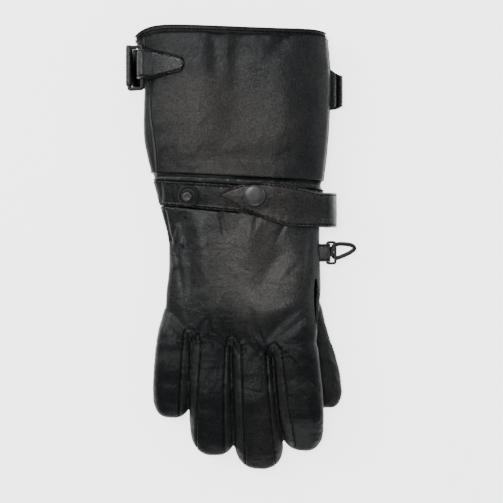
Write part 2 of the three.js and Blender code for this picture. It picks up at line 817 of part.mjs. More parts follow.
function strapOutline(x) {
  const along = (x - strapPointX) / (sleeveSection(strapLine).right - strapPointX);
  return readTable(strapRows, 'along', Math.min(along, 1));
}

function strapUnder(x, y) {
  return heightClear(x, y, restGap, bandProud);
}

function wristStrap() {
  const endX = sleeveSection(strapLine).right + bandProud + 3 * seamGap;
  const columns = steps(3).map((share) => {
    const line = [];
    for (const x of steps(11, strapPointX, strapLeaveX)) {
      const row = strapOutline(x);
      const y = strapLine + strapWidth * lerp(row.low, row.high, share);
      line.push(new THREE.Vector3(x, y, strapUnder(x, y)));
    }
    const leave = line[line.length - 1];
    const noseX = strapNoseX - strapThickness;
    const fold = strapFold.map((row) => new THREE.Vector3(
      lerp(strapLeaveX, noseX, row.out), leave.y,
      row.floor ? row.floor * wristHeight : leave.z - row.below * wristHeight));
    const back = new THREE.Vector3(endX, leave.y, fold[fold.length - 1].z);
    const route = new THREE.CatmullRomCurve3([leave, ...fold, back]);
    const last = strapOutline(strapNoseX);
    const end = strapLine + strapWidth * lerp(last.low, last.high, share);
    for (const along of steps(11).slice(1)) {
      const place = route.getPoint(along);
      line.push(new THREE.Vector3(place.x, lerp(leave.y, end, smooth(0, 0.4, along)), place.z));
    }
    return line;
  });
  return strapSolid(columns, strapThickness, 1);
}

// A small round fitting laid on a surface: it leans with the surface and clears its high spots.
function seatOn(mesh, place, radius, height) {
  const { x, y } = place;
  const slopeX = (height(x + radius, y) - height(x - radius, y)) / (2 * radius);
  const slopeY = (height(x, y + radius) - height(x, y - radius)) / (2 * radius);
  const normal = new THREE.Vector3(-slopeX, -slopeY, 1).normalize();
  let high = -Infinity;
  for (const ring of [0, 0.5, 1]) {
    for (const angle of steps(12, 0, 2 * Math.PI)) {
      const dx = ring * radius * Math.cos(angle);
      const dy = ring * radius * Math.sin(angle);
      high = Math.max(high, height(x + dx, y + dy) - slopeX * dx - slopeY * dy);
    }
  }
  mesh.quaternion.setFromUnitVectors(new THREE.Vector3(0, 0, 1), normal);
  mesh.position.set(x, y, high + seamGap / normal.z);
  return mesh;
}

function turned(points, sides) {
  return new THREE.LatheGeometry(points, sides).rotateX(Math.PI / 2);
}

// Where the snap cap and the spare stud sit on the wrist.
const capPlace = { x: 0.085 * wristWidth, y: 0.47 * wristLength };
const studPlace = { x: -0.326 * wristWidth, y: 0.46 * wristLength };

function scaled(profile, radius, low, high) {
  return profile.map((row) => new THREE.Vector2(row.r * radius, lerp(low, high, row.z)));
}

function snapCap() {
  return turned(scaled(capProfile, snapDiameter / 2, 0, snapHeight), 16);
}

function snapStud() {
  const base = studBase * studPostHeight;
  const rim = scaled(studRim, snapDiameter / 2, 0, base);
  const post = scaled(studPost, studPostDiameter / 2, base, base + studPostHeight);
  return turned([...rim, ...post], 16);
}

// Cuff strap, ring and tab on the little-finger edge of the cuff

const tabLine = wristLength + tabShare * cuffLength;
const ringLine = tabLine - ringSlide;
const bulgeLine = wristLength + bulgeShare * cuffLength;
const ringHeldWidth = cuffStrapWidth + 2 * ringClearance;
const barHalf = ringBar / 2;
const loopRadius = barHalf + seamGap;
const nearBar = (() => {
  const edge = sleeveSection(tabLine).left;
  const x = edge + 0.5 * ringBar;
  const under = topHeight(x + loopRadius + tabThickness, tabLine);
  return { x, z: under + 3 * restGap + tabThickness + barHalf };
})();
const farBar = {
  x: nearBar.x - ringReach * Math.cos(ringTilt),
  z: nearBar.z - ringReach * Math.sin(ringTilt),
};

// The ring: a flat four-sided frame of square bar with rounded corners.
function cuffRing() {
  const wide = ringReach + ringBar;
  const long = ringHeldWidth + 2 * ringBar;
  const frame = (width, height, corner) => {
    const shape = new THREE.Shape();
    const x = width / 2;
    const y = height / 2;
    shape.moveTo(-x + corner, -y);
    shape.lineTo(x - corner, -y);
    shape.absarc(x - corner, -y + corner, corner, -Math.PI / 2, 0, false);
    shape.lineTo(x, y - corner);
    shape.absarc(x - corner, y - corner, corner, 0, Math.PI / 2, false);
    shape.lineTo(-x + corner, y);
    shape.absarc(-x + corner, y - corner, corner, Math.PI / 2, Math.PI, false);
    shape.lineTo(-x, -y + corner);
    shape.absarc(-x + corner, -y + corner, corner, Math.PI, 1.5 * Math.PI, false);
    return shape;
  };
  const outline = frame(wide, long, ringBar);
  outline.holes.push(frame(wide - 2 * ringBar, long - 2 * ringBar, 0.4 * ringBar));
  const settings = { depth: ringBar, bevelEnabled: false, curveSegments: 4 };
  const geometry = new THREE.ExtrudeGeometry(outline, settings);
  return geometry.translate(0, 0, -barHalf);
}

function placeRing(mesh) {
  mesh.rotation.y = -ringTilt;
  mesh.position.set((nearBar.x + farBar.x) / 2, ringLine, (nearBar.z + farBar.z) / 2);
  return mesh;
}

// The tab: a tongue on the back of the cuff that is folded round the ring's near bar.
function cuffTab() {
  const round = 1.45 * loopRadius;
  const turnX = nearBar.x + round + 3 * tabThickness;
  const columns = steps(4, -1, 1).map((share) => {
    const line = [];
    for (const along of [0.004, 0.04, 0.12, 0.25, 0.4, 0.6, 0.8, 1]) {
      const x = turnX + (tabLength - 3 * tabThickness) * (1 - along);
      const point = Math.sqrt(Math.min(1, 1 - (1 - Math.min(along / 0.3, 1)) ** 2));
      const half = tabWidth / 2 * lerp(0.72, 1, along) * point;
      const y = tabLine + share * half;
      line.push(new THREE.Vector3(x, y, heightClear(x, y, restGap + tabThickness)));
    }
    const y = line[line.length - 1].y;
    const fold = arc(nearBar, round + tabThickness, tabWrap.from, tabWrap.to, 10);
    line.push(...fold.map((place) => new THREE.Vector3(place.x, y, place.z)));
    return line;
  });
  return strapSolid(columns, tabThickness, 1);
}

// The cuff strap: out of the thumb-side seam in a loop, under the cuff, and round the far bar.
function cuffStrap() {
  const bulge = sleeveSection(bulgeLine);
  const rightX = bulge.right;
  const noseX = rightX + cuffStrapBulge;
  const leftX = sleeveSection(ringLine).left;
  const round = 1.5 * loopRadius;
  const seamZ = cuffFloor + 0.5 * bulge.tall;
  const thick = cuffStrapThickness;
  const route = [
    { x: rightX + 2 * seamGap, z: seamZ - thick },
    { x: lerp(rightX, noseX, 0.45), z: seamZ - thick - 0.4 },
    { x: noseX - 1.8 * thick, z: 0.72 * seamZ },
    { x: noseX - thick, z: 0.45 * seamZ },
    { x: noseX - 1.9 * thick, z: 0.22 * seamZ },
    { x: rightX - 0.2 * thick, z: 1.02 * thick },
    { x: rightX - 4 * thick, z: thick },
    ...steps(4, 0.8 * rightX, 0.86 * leftX).map((x) => ({ x, z: thick })),
    { x: lerp(leftX, farBar.x, 0.3), z: 1.35 * thick },
    { x: farBar.x - round + 0.9 * thick, z: 0.45 * farBar.z },
    ...arc(farBar, round, 180, 0, 7),
    { x: farBar.x + round, z: 0.62 * farBar.z },
  ];
  const columns = steps(3, -0.5, 0.5).map((share) => route.map((place) => {
    const across = (place.x - farBar.x) / (noseX - farBar.x);
    const y = lerp(ringLine, bulgeLine, smooth(0.05, 0.95, across));
    return new THREE.Vector3(place.x, y + share * cuffStrapWidth, place.z);
  }));
  return strapSolid(columns, thick, 1);
}

// Clip: a leather tab, a small ring and a moulded hook on the thumb side of the wrist

const clipLine = -0.315 * palmLength;
const clipZ = 0.55 * palmHeight;
const clipEdge = sleeveSection(clipLine).right;
const clipLoop = clipRingBar / 2 + seamGap;
const clipNear = { x: clipEdge + clipTabLength, z: clipZ };
const clipEye = 0.7 * clipThickness;
const clipFar = {
  x: clipNear.x + clipLoop * Math.SQRT2 + clipTabThickness + clipEye + 2 * seamGap,
  z: clipZ,
};

function clipTab() {
  const round = clipLoop * Math.SQRT2;
  const start = clipEdge + 3 * seamGap;
  const route = [
    { x: start, z: clipZ + round },
    { x: lerp(start, clipNear.x, 0.5), z: clipZ + round },
    ...arc(clipNear, round, 90, -90, 8),
    { x: lerp(start, clipNear.x, 0.5), z: clipZ - round },
    { x: start, z: clipZ - round },
  ];
  const columns = [-0.5, 0.5].map((share) => route.map(
    (place) => new THREE.Vector3(place.x, clipLine + share * clipTabWidth, place.z)));
  return strapSolid(columns, clipTabThickness, 1);
}

function clipRing() {
  const half = clipRingBar / 2;
  const length = clipTabWidth + 2 * seamGap + clipRingBar;
  const x = (clipFar.x - clipNear.x) / 2;
  const points = [[-x, -length / 2], [x, -length / 2], [x, length / 2], [-x, length / 2]];
  const box = (width, height) => new THREE.BoxGeometry(width, height, clipRingBar);
  const bars = points.map(([px, py], i) => {
    const [qx, qy] = points[(i + 1) % 4];
    const long = Math.hypot(qx - px, qy - py) + 2 * half;
    const geometry = px === qx ? box(clipRingBar, long) : box(long, clipRingBar);
    return solidOf(geometry.translate((px + qx) / 2, (py + qy) / 2, 0));
  });
  return geometryOf(joined(bars)).translate((clipNear.x + clipFar.x) / 2, clipLine, clipZ);
}

// The hook: an eye round the ring's far bar, and two arms that meet in a point,
// with a springy gate across the open side.
function clipHook() {
  const x0 = clipFar.x;
  const place = (row) => new THREE.Vector2(
    x0 + row.along * clipLength, clipLine + row.across * clipWidth - (row.arm ? clipArm : 0));
  const outline = hookOutline.map(place);
  const inner = hookOpening.map(place);
  const low = clipZ - clipThickness / 2;
  const high = clipZ + clipThickness / 2;
  const plate = solidOf(prism(outline, low, high)).subtract(solidOf(prism(inner, low - 1, high + 1)));
  const shape = new THREE.Shape();
  shape.absarc(0, 0, clipEye, 0, 2 * Math.PI);
  const hole = new THREE.Shape();
  hole.absarc(0, 0, clipLoop * Math.SQRT2, 0, 2 * Math.PI);
  const along = (outlineShape, length) => solidOf(new THREE.ExtrudeGeometry(outlineShape, {
    depth: length, bevelEnabled: false, curveSegments: 8,
  }).translate(0, 0, -length / 2).rotateX(Math.PI / 2).translate(x0, clipLine, clipZ));
  const eye = clipTabWidth - 2 * seamGap;
  const block = along(shape, eye * 0.62).add(plate);
  return geometryOf(block.subtract(along(hole, 2 * clipTabWidth)));
}

// The whole glove

const hand = handPieces();
const glove = new THREE.Group();

function add(name, geometry, look, place = (mesh) => mesh) {
  const material = new THREE.MeshStandardMaterial({
    color: look.colour,
    roughness: look.roughness,
    metalness: look.metalness,
  });
  const mesh = new THREE.Mesh(geometry, material);
  mesh.name = name;
  glove.add(place(mesh));
}

add('cuff_back', cuffBack(), leather);
add('cuff_gusset', cuffGusset(), leather);
add('cuff_palm', cuffPalm(), leather);
add('cuff_binding', cuffBinding(), leather);
add('wrist_gather', wristGather(), leather);
add('wrist_band', wristBand(), leather);
add('hand_back', geometryOf(hand.back), leather);
add('hand_palm', geometryOf(hand.palm), leather);
add('fourchette_little_ring', geometryOf(hand.fourchettes[0]), softLeather);
add('fourchette_ring_middle', geometryOf(hand.fourchettes[1]), softLeather);
add('fourchette_middle_first', geometryOf(hand.fourchettes[2]), softLeather);
add('thumb', geometryOf(hand.thumb), softLeather);
add('wrist_strap', wristStrap(), leather);
add('snap_cap', snapCap(), gunmetal, (mesh) => seatOn(
  mesh, capPlace, snapDiameter / 2, (x, y) => strapUnder(x, y) + strapThickness));
add('snap_stud', snapStud(), darkMetal, (mesh) => seatOn(
  mesh, studPlace, snapDiameter / 2, (x, y) => topHeight(x, y, bandProud)));
add('cuff_tab', cuffTab(), leather);
add('cuff_ring', cuffRing(), darkMetal, placeRing);
add('cuff_strap', cuffStrap(), leather);
add('clip_tab', clipTab(), leather);
add('clip_ring', clipRing(), gunmetal);
add('clip_hook', clipHook(), moulded);

// The origin is the middle of the glove's footprint, on the surface that it lies on.
glove.updateMatrixWorld(true);
const extent = new THREE.Box3().setFromObject(glove, true);
const centre = extent.getCenter(new THREE.Vector3());
for (const piece of glove.children) {
  piece.position.sub(new THREE.Vector3(centre.x, centre.y, extent.min.z));
}

export default glove;
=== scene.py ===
"""The looks of a right-hand leather gauntlet glove that lies palm down.

Shapes are worked out in millimetres in the glove's own frame, where y = 0 is the seam between
wrist and hand, +y runs to the cuff and +x to the thumb side. They are moved into the model's
frame, in metres, when a mesh is made.
"""

import math

import bpy
import numpy as np
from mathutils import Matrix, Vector


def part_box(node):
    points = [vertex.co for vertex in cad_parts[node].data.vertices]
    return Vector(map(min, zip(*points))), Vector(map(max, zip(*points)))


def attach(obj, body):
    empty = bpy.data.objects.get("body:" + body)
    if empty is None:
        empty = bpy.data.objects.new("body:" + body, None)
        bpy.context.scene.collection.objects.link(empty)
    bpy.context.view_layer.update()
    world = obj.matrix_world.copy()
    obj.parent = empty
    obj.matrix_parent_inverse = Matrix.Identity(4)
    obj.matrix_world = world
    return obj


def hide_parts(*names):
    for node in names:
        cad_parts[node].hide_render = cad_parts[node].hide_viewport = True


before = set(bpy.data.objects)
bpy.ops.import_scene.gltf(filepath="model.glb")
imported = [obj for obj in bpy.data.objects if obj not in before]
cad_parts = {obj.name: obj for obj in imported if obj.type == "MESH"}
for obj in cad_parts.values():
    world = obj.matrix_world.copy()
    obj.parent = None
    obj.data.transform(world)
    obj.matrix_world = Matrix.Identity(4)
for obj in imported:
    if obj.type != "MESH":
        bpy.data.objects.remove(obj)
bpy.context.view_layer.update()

MM = 0.001


def table(columns, *rows):
    """Rows of numbers with their columns named once."""
    return [dict(zip(columns.split(), row)) for row in rows]


# Driving dimensions, the same as the model's
CUFF_LENGTH = 106.0
WRIST_LENGTH = 26.0
PALM_LENGTH = 91.0
FINGER_LENGTH = 92.0
CUFF_WIDTH = 138.0
WRIST_WIDTH = 115.0
PALM_WIDTH = 111.0
CUFF_HEIGHT = 30.0
WRIST_HEIGHT = 26.0
PALM_HEIGHT = 24.0
FINGER_HEIGHT = 18.0
WALL = 1.8
CROTCH_RISE = 1.6
FOLD_DEPTH = 2.4
THUMB_LENGTH = 90.0
THUMB_WIDTH = 27.5
THUMB_HEIGHT = 13.0
BINDING_WIDTH = 5.0
BINDING_PROUD = 0.9
GATHER_LENGTH = 6.0
BAND_PROUD = 0.7
STRAP_WIDTH = 31.0
STRAP_THICKNESS = 2.0
STRAP_STAND_OFF = 11.0
SNAP_DIAMETER = 15.0
SNAP_HEIGHT = 3.4
STUD_POST_DIAMETER = 6.6
STUD_POST_HEIGHT = 3.6
CUFF_STRAP_WIDTH = 25.0
CUFF_STRAP_THICKNESS = 1.6
CUFF_STRAP_BULGE = 10.8
RING_REACH = 11.5
RING_BAR = 2.5
RING_TILT = math.radians(32)
RING_SLIDE = 2.6
TAB_LENGTH = 28.0
TAB_WIDTH = 20.0
TAB_THICKNESS = 1.6
TAB_SHARE = 0.753
BULGE_SHARE = 0.604
CLIP_TAB_WIDTH = 13.0
CLIP_TAB_LENGTH = 5.3
CLIP_TAB_THICKNESS = 1.2
CLIP_RING_BAR = 1.6
CLIP_THICKNESS = 3.8
SEAM_GAP = 0.3
REST_GAP = 0.45
RING_CLEARANCE = 1.2
FULLNESS = 2.35
FINGER_FULLNESS = 2.5
FLAT_SHARE = 0.1

# Detail of the leather
FINGER_GAP = -1.5
WEB_LENGTH = 13.0
CORNER_RISE = 2.4
PALM_END = 7.0
SKIN_VOXEL = 0.75
SKIN_ROUNDS = 9
THUMB_ROUNDS = 3
LINING_VOXEL = 1.7
BLADE_HALF = 0.2
PANEL_SPREAD = 0.015
PANEL_GAP_TURN = 0.0012
CREASE_BEND = 0.02
FINGER_END = 0.17
FINGER_ROOT = 0.86
WEB_HALF = (5.5, 3.0)
WEB_TALL = (0.74, 0.3)
STITCH_PITCH = 3.1
STITCH_LENGTH = 2.3
STITCH_RADIUS = 0.4

# The sleeve from the hem to the finger roots, in the model's columns
CUFF_ROWS = table("along left right tall skew lift sweep",
    (1.0, -0.552, 0.444, 1.0, -0.04, 0, 0.08), (0.8, -0.525, 0.46, 0.97, -0.02, 0, 0.02),
    (0.63, -0.504, 0.463, 0.94, -0.01, 0, 0), (0.38, -0.507, 0.457, 0.9, -0.01, 0, 0),
    (0.2, -0.501, 0.446, 0.88, -0.03, 0, 0))
WRIST_ROWS = table("along left right tall skew lift sweep",
    (1.0, -0.562, 0.512, 0.98, -0.05, 0, 0), (0.45, -0.526, 0.505, 1.0, -0.07, 0, 0),
    (0.0, -0.506, 0.496, 0.96, -0.09, 0.05, 0))
PALM_ROWS = table("along left right tall skew lift sweep",
    (0.25, -0.476, 0.51, 1.0, -0.1, 0.15, 0), (0.5, -0.466, 0.513, 0.98, -0.12, 0.4, 0),
    (0.75, -0.487, 0.498, 0.92, -0.15, 0.85, 0), (1.0, -0.497, 0.48, 0.82, -0.165, 1.0, 0))
SWEEP_POWER_LEFT = 8
SWEEP_POWER_RIGHT = 10
SWEEP_RIGHT = 0.35
GUSSET_ROWS = table("along seam",
    (0.0, 0.036), (0.2, 0.058), (0.4, 0.045), (0.62, 0.032), (0.8, 0.036), (1.0, 0.056))

# Broad folds, the same as the model's, then the finer creases that only show here.
# x, y, long and wide are shares of the width and length, angle is from +x, deep of FOLD_DEPTH.
CUFF_FOLDS = table("x y angle long wide deep",
    (0.02, 0.55, 80, 0.5, 0.16, -0.8), (0.22, 0.45, 95, 0.6, 0.12, 0.45), (-0.22, 0.4, 84, 0.6, 0.13, 0.5),
    (-0.13, 0.84, 92, 0.26, 0.045, -0.75), (-0.02, 0.8, 86, 0.3, 0.05, -0.6),
    (0.2, 0.88, 50, 0.16, 0.04, -0.55), (0.05, 0.12, 4, 0.6, 0.07, -0.55))
PALM_FOLDS = table("x y angle long wide deep",
    (-0.36, 0.3, 94, 0.5, 0.06, -0.7), (-0.25, 0.32, 96, 0.55, 0.07, 0.6), (0.06, 0.16, 84, 0.3, 0.06, 0.7),
    (0.2, 0.42, 66, 0.3, 0.07, -0.9), (0.3, 0.66, 40, 0.4, 0.06, 0.7), (0.26, 0.8, 35, 0.34, 0.06, -0.7),
    (-0.1, 0.78, 70, 0.3, 0.08, 0.4))
CUFF_CREASES = table("x y angle long wide deep",
    (-0.2, 0.9, 75, 0.12, 0.012, -0.3), (-0.09, 0.89, 100, 0.14, 0.012, -0.3),
    (0.02, 0.9, 84, 0.12, 0.012, -0.26), (0.14, 0.87, -42, 0.12, 0.009, 0.3),
    (0.275, 0.88, -45, 0.11, 0.009, 0.28), (-0.146, 0.85, 80, 0.08, 0.009, 0.3),
    (-0.35, 0.86, 60, 0.1, 0.009, 0.22), (-0.4, 0.1, 70, 0.12, 0.013, -0.3),
    (-0.3, 0.05, 20, 0.2, 0.014, -0.26), (-0.05, 0.05, -8, 0.3, 0.016, -0.3),
    (0.2, 0.07, 6, 0.26, 0.016, -0.3), (0.36, 0.3, 100, 0.3, 0.02, -0.2))
PALM_CREASES = table("x y angle long wide deep",
    (-0.44, 0.16, 70, 0.22, 0.016, -0.35), (-0.4, 0.45, 98, 0.3, 0.016, -0.3),
    (-0.33, 0.55, 84, 0.3, 0.018, -0.25), (-0.28, 0.96, 62, 0.2, 0.018, -0.45),
    (-0.2, 0.92, 105, 0.16, 0.016, -0.35), (-0.08, 0.98, 118, 0.16, 0.016, -0.4),
    (0.02, 0.97, 70, 0.2, 0.018, -0.45), (0.12, 0.96, 112, 0.18, 0.016, -0.4),
    (0.2, 0.95, 52, 0.2, 0.022, -0.35), (0.33, 0.9, 40, 0.22, 0.024, -0.3), (0.3, 0.5, 48, 0.2, 0.02, -0.3),
    (0.43, 0.4, 84, 0.3, 0.018, -0.25), (0.1, 0.06, 75, 0.16, 0.016, -0.3),
    (-0.12, 0.08, 100, 0.18, 0.016, -0.3), (0.28, 0.1, 60, 0.18, 0.016, -0.3))

FINGER_ROWS = table(
    "root tip bow wide_root wide_middle wide_tip long arch droop left_root left_tip right_root right_tip",
    (-0.414, -0.45, -0.013, 0.184, 0.226, 0.23, 0.7, 0.16, 0.2, 7.0, 7.0, 5.4, 8.6),
    (-0.19, -0.174, -0.012, 0.262, 0.275, 0.284, 0.95, 0.22, 0.2, 8.4, 3.0, 5.0, 9.4),
    (0.078, 0.126, -0.006, 0.262, 0.284, 0.312, 1.0, 0.28, 0.25, 6.6, 7.6, 7.0, 7.2),
    (0.345, 0.408, 0.0, 0.262, 0.284, 0.252, 0.805, 0.0, 0.6, 5.8, 9.6, 7.0, 7.0))
ROOT_INSET = 0.16
TIP_SHARE = 0.19
THINNEST = 0.4
SIDE_SEAM_SHARE = 0.48

# Where cuts start and end, in height, and a distance past any on the glove
BELOW, ABOVE, FAR_OFF = -9, 60, 1e9

# The parts that folds lie on: width, length, start and way along y
ON_CUFF = (CUFF_WIDTH, CUFF_LENGTH, WRIST_LENGTH, 1)
ON_PALM = (PALM_WIDTH, PALM_LENGTH, 0, -1)

# Creases, ridges and the hollow along the thumb edge, from one place to another in millimetres
HAND_LINES = table("x0 y0 x1 y1 wide deep",
    (29.4, -97.6, 51.8, -122.4, 1.3, -0.55), (33.0, -94.5, 50.0, -108.0, 1.8, -0.35),
    (46.8, -133.6, 52.0, -154.0, 1.6, 0.35), (-19.4, -86.0, -7.0, -94.0, 1.1, -0.45),
    (11.0, -92.0, 13.0, -101.0, 1.1, -0.4), (-46.5, -84.0, -38.0, -93.0, 1.3, -0.35),
    (-24.0, -118.0, -14.0, -121.0, 1.2, -0.3), (3.0, -126.0, 14.0, -129.0, 1.3, -0.3),
    (-54.6, 1.0, -50.8, -20.0, 1.0, -1.0), (-46.0, -10.0, -42.5, -22.0, 2.2, 0.6),
    (-42.5, -22.0, -47.0, -38.0, 2.2, 0.5), (-50.0, -22.0, -46.0, -32.0, 2.0, -0.6))
HOLLOW_ROWS = table("y left right",
    (-47.0, 53.0, 53.7), (-55.0, 52.2, 56.0), (-68.0, 52.4, 57.4), (-80.0, 53.6, 58.0), (-88.0, 56.0, 56.8))
FINGER_CREASES = table("along wide deep",
    (0.4, 0.05, 0.035), (0.66, 0.05, 0.04))
THUMB_ROWS = table("y x wide rise",
    (0.0, 0.35, 0.7, 0.42), (0.16, 0.395, 0.94, 0.2), (0.38, 0.439, 1.0, 0.0), (0.5, 0.471, 1.0, 0.0),
    (0.68, 0.515, 1.0, 0.0), (1.0, 0.548, 0.99, 0.0))
THUMB_BASE = -0.56 * PALM_LENGTH
STRAP_ROWS = table("along low high",
    (0.0, -0.02, 0.02), (0.06, -0.1, 0.07), (0.14, -0.19, 0.15), (0.25, -0.36, 0.24), (0.36, -0.48, 0.27),
    (0.5, -0.61, 0.27), (0.65, -0.72, 0.22), (0.82, -0.76, 0.13), (1.0, -0.756, 0.045))


# General helpers

def smooth(low, high, value):
    share = np.clip((np.asarray(value, float) - low) / (high - low), 0, 1)
    return share * share * (3 - 2 * share)


def mix(a, b, share):
    return a + (b - a) * share


def signed_power(value, power):
    return np.sign(value) * np.abs(value) ** power


def bell(offset, width):
    return np.exp(-((offset / width) ** 2))


def unit(vectors):
    return vectors / np.maximum(np.linalg.norm(vectors, axis=-1, keepdims=True), 1e-9)


def places(*axes):
    """Points from a value or an array for each axis."""
    return np.stack(np.broadcast_arrays(*axes), -1)


def circle(sides):
    return np.arange(sides) / sides * 2 * math.pi


def walked(points):
    """How far along its line each point lies, down the first axis."""
    steps = np.linalg.norm(np.diff(points, axis=0), axis=-1)
    return np.concatenate([np.zeros_like(steps[:1]), np.cumsum(steps, 0)])


def on_line(at, walk, line):
    return np.array([np.interp(at, walk, line[:, k]) for k in range(line.shape[1])])


def read_table(rows, key, at):
    """Smooth interpolation of every column of a table, for an array of places."""
    rows = sorted(rows, key=lambda row: row[key])
    xs = np.array([row[key] for row in rows], float)
    at = np.asarray(at, float)
    i = np.clip(np.searchsorted(xs, at) - 1, 0, len(xs) - 2)
    before, after = np.maximum(i - 1, 0), np.minimum(i + 2, len(xs) - 1)
    span = xs[i + 1] - xs[i]
    s = np.clip((at - xs[i]) / span, 0, 1)
    found = {}
    for column in rows[0]:
        v = np.array([row[column] for row in rows], float)
        low = (v[i + 1] - v[before]) / (xs[i + 1] - xs[before])
        high = (v[after] - v[i]) / (xs[after] - xs[i])
        found[column] = ((2 * s**3 - 3 * s**2 + 1) * v[i] + (s**3 - 2 * s**2 + s) * span * low
                         + (3 * s**2 - 2 * s**3) * v[i + 1] + (s**3 - s**2) * span * high)
    return found


def lattice_value(ix, iy, iz, seed):
    """A repeatable value from -1 to 1 for each corner of a lattice."""
    h = (ix * 73856093) ^ (iy * 19349663) ^ (iz * 83492791) ^ (seed * 2654435761)
    h = (h ^ (h >> 13)) * 1274126177
    h = h ^ (h >> 16)
    return (h & 0xFFFF) / 32767.5 - 1


def value_noise(points, size, seed):
    """Smooth noise from -1 to 1 with features about size millimetres across."""
    q = points / size
    base = np.floor(q).astype(np.int64)
    f = q - base
    f = f * f * (3 - 2 * f)
    total = np.zeros(len(points))
    for corner in range(8):
        d = np.array([corner & 1, (corner >> 1) & 1, corner >> 2])
        w = np.where(d, f, 1 - f)
        total += w[:, 0] * w[:, 1] * w[:, 2] * lattice_value(*(base + d).T, seed)
    return total


def crumple(points, size, seed):
    """Soft leather wrinkles: ridged noise at two scales."""
    first = 1 - 2 * np.abs(value_noise(points, size, seed))
    return 0.7 * first + 0.3 * (1 - 2 * np.abs(value_noise(points, size * 0.45, seed + 7)))


def noise_on(points, size, seed):
    return value_noise(points.reshape(-1, 3), size, seed).reshape(points.shape[:-1])


def crumple_on(points, squeeze, size, seed):
    return crumple(points.reshape(-1, 3) * np.array(squeeze), size, seed).reshape(points.shape[:-1])


# The sleeve

HEM_LINE = WRIST_LENGTH + CUFF_LENGTH
CUFF_FLOOR = CUFF_STRAP_THICKNESS + 2 * SEAM_GAP


def sized(rows, start, length, width, height):
    """The rows of one part of the sleeve in millimetres."""
    return [dict(y=start + row["along"] * length, left=row["left"] * width, right=row["right"] * width,
                 tall=row["tall"] * height, skew=row["skew"], lift=row["lift"] * (THUMB_HEIGHT + REST_GAP),
                 sweep=row["sweep"] * CUFF_LENGTH) for row in rows]


SLEEVE_ROWS = (sized(CUFF_ROWS, WRIST_LENGTH, CUFF_LENGTH, CUFF_WIDTH, CUFF_HEIGHT)
               + sized(WRIST_ROWS, 0, WRIST_LENGTH, WRIST_WIDTH, WRIST_HEIGHT)
               + sized(PALM_ROWS, 0, -PALM_LENGTH, PALM_WIDTH, PALM_HEIGHT))


def sleeve_section(y):
    s = read_table(SLEEVE_ROWS, "y", y)
    s["floor"] = CUFF_FLOOR * smooth(0, WRIST_LENGTH, y)
    s["middle"] = (s["left"] + s["right"]) / 2
    s["half"] = (s["right"] - s["left"]) / 2
    s["corner"] = CORNER_RISE * smooth(WRIST_LENGTH + 0.8 * CUFF_LENGTH, WRIST_LENGTH + CUFF_LENGTH, y)
    return s


def back_at(s, x):
    """How far a section runs back towards the wrist at a place across it."""
    share = np.clip((x - s["middle"]) / s["half"], -1, 1)
    left = s["sweep"] * np.abs(share) ** SWEEP_POWER_LEFT
    right = SWEEP_RIGHT * s["sweep"] * np.abs(share) ** SWEEP_POWER_RIGHT
    corner = s["corner"] * np.maximum(share, 0) ** 3
    return np.where(share < 0, left, right) - s["skew"] * (x - s["middle"]) - corner


def lift_at(s, x):
    return s["lift"] * smooth(0.4, 0.95, (x - s["left"]) / (s["right"] - s["left"]))


def folds(x, y, rows, width, length, start, way, deep=1.0, bend=0.0):
    """The depth of folds on a part of the sleeve. bend makes them curve."""
    depth = 0
    for row in rows:
        turn, long = math.radians(row["angle"]), row["long"] * width
        dx, dy = x - row["x"] * width, y - start - row["y"] * length * way
        along = dx * math.cos(turn) + dy * math.sin(turn)
        across = dy * math.cos(turn) - dx * math.sin(turn) + bend * along * along / long
        depth = depth + row["deep"] * deep * bell(2 * along, long) * bell(across, row["wide"] * width)
    return depth


def faded_folds(x, y, rows, width, length, start, way):
    """Folds that die out towards both ends of their part of the sleeve."""
    away = np.abs(y - start)
    return (folds(x, y, rows, width, length, start, way) * FOLD_DEPTH
            * smooth(0, 0.12 * length, away) * smooth(0, 0.08 * length, length - away))


def on_parts(y, on_cuff, on_palm):
    return np.where(y > WRIST_LENGTH, on_cuff, 0) + np.where(y < 0, on_palm, 0)


def fold_at(x, y):
    return on_parts(y, faded_folds(x, y, CUFF_FOLDS, *ON_CUFF), faded_folds(x, y, PALM_FOLDS, *ON_PALM))


def crease_at(x, y):
    """Fine creases of the back, in millimetres."""
    return on_parts(y, faded_folds(x, y, CUFF_CREASES, *ON_CUFF),
                    folds(x, y, PALM_CREASES, *ON_PALM, deep=FOLD_DEPTH, bend=CREASE_BEND))


def sleeve_point(y, turn, depth):
    """Points of the skin: turn is 0 at the thumb edge and a quarter at the top."""
    s = sleeve_section(y)
    angle = np.asarray(turn) * 2 * math.pi
    c, sine = np.cos(angle), np.sin(angle)
    flat, upper = FLAT_SHARE * s["tall"], s["tall"] / 2
    x = s["middle"] + (s["half"] - depth) * signed_power(c, 2 / FULLNESS)
    reach = np.where(sine > 0, upper - depth, upper + flat - depth)
    z = s["floor"] + upper + reach * signed_power(sine, 2 / FULLNESS)
    z = np.maximum(z, s["floor"] + np.maximum(depth, 0)) + lift_at(s, x)
    z = z + fold_at(x, y) * np.sqrt(np.maximum(sine, 0))
    return np.stack([x, y - back_at(s, x), z], -1)


def top_height(x, y, proud=0.0):
    line = np.array(y, float)
    for _ in range(4):
        line = y + back_at(sleeve_section(line), x)
    s = sleeve_section(line)
    share = np.clip((x - s["middle"]) / (s["half"] + proud), -0.999, 0.999)
    return sleeve_point(line, np.arccos(signed_power(share, FULLNESS / 2)) / (2 * math.pi), -proud)[..., 2]


def height_clear(x, y, distance, proud=0.0):
    slope = top_height(x + 0.5, y, proud) - top_height(x - 0.5, y, proud)
    return top_height(x, y, proud) + distance * np.hypot(1, slope)


def turn_from_edge(y, distance):
    s = sleeve_section(y)
    share = np.maximum(1 - distance / s["half"], 0)
    return (math.pi - np.arccos(share ** (FULLNESS / 2))) / (2 * math.pi)


# Meshes

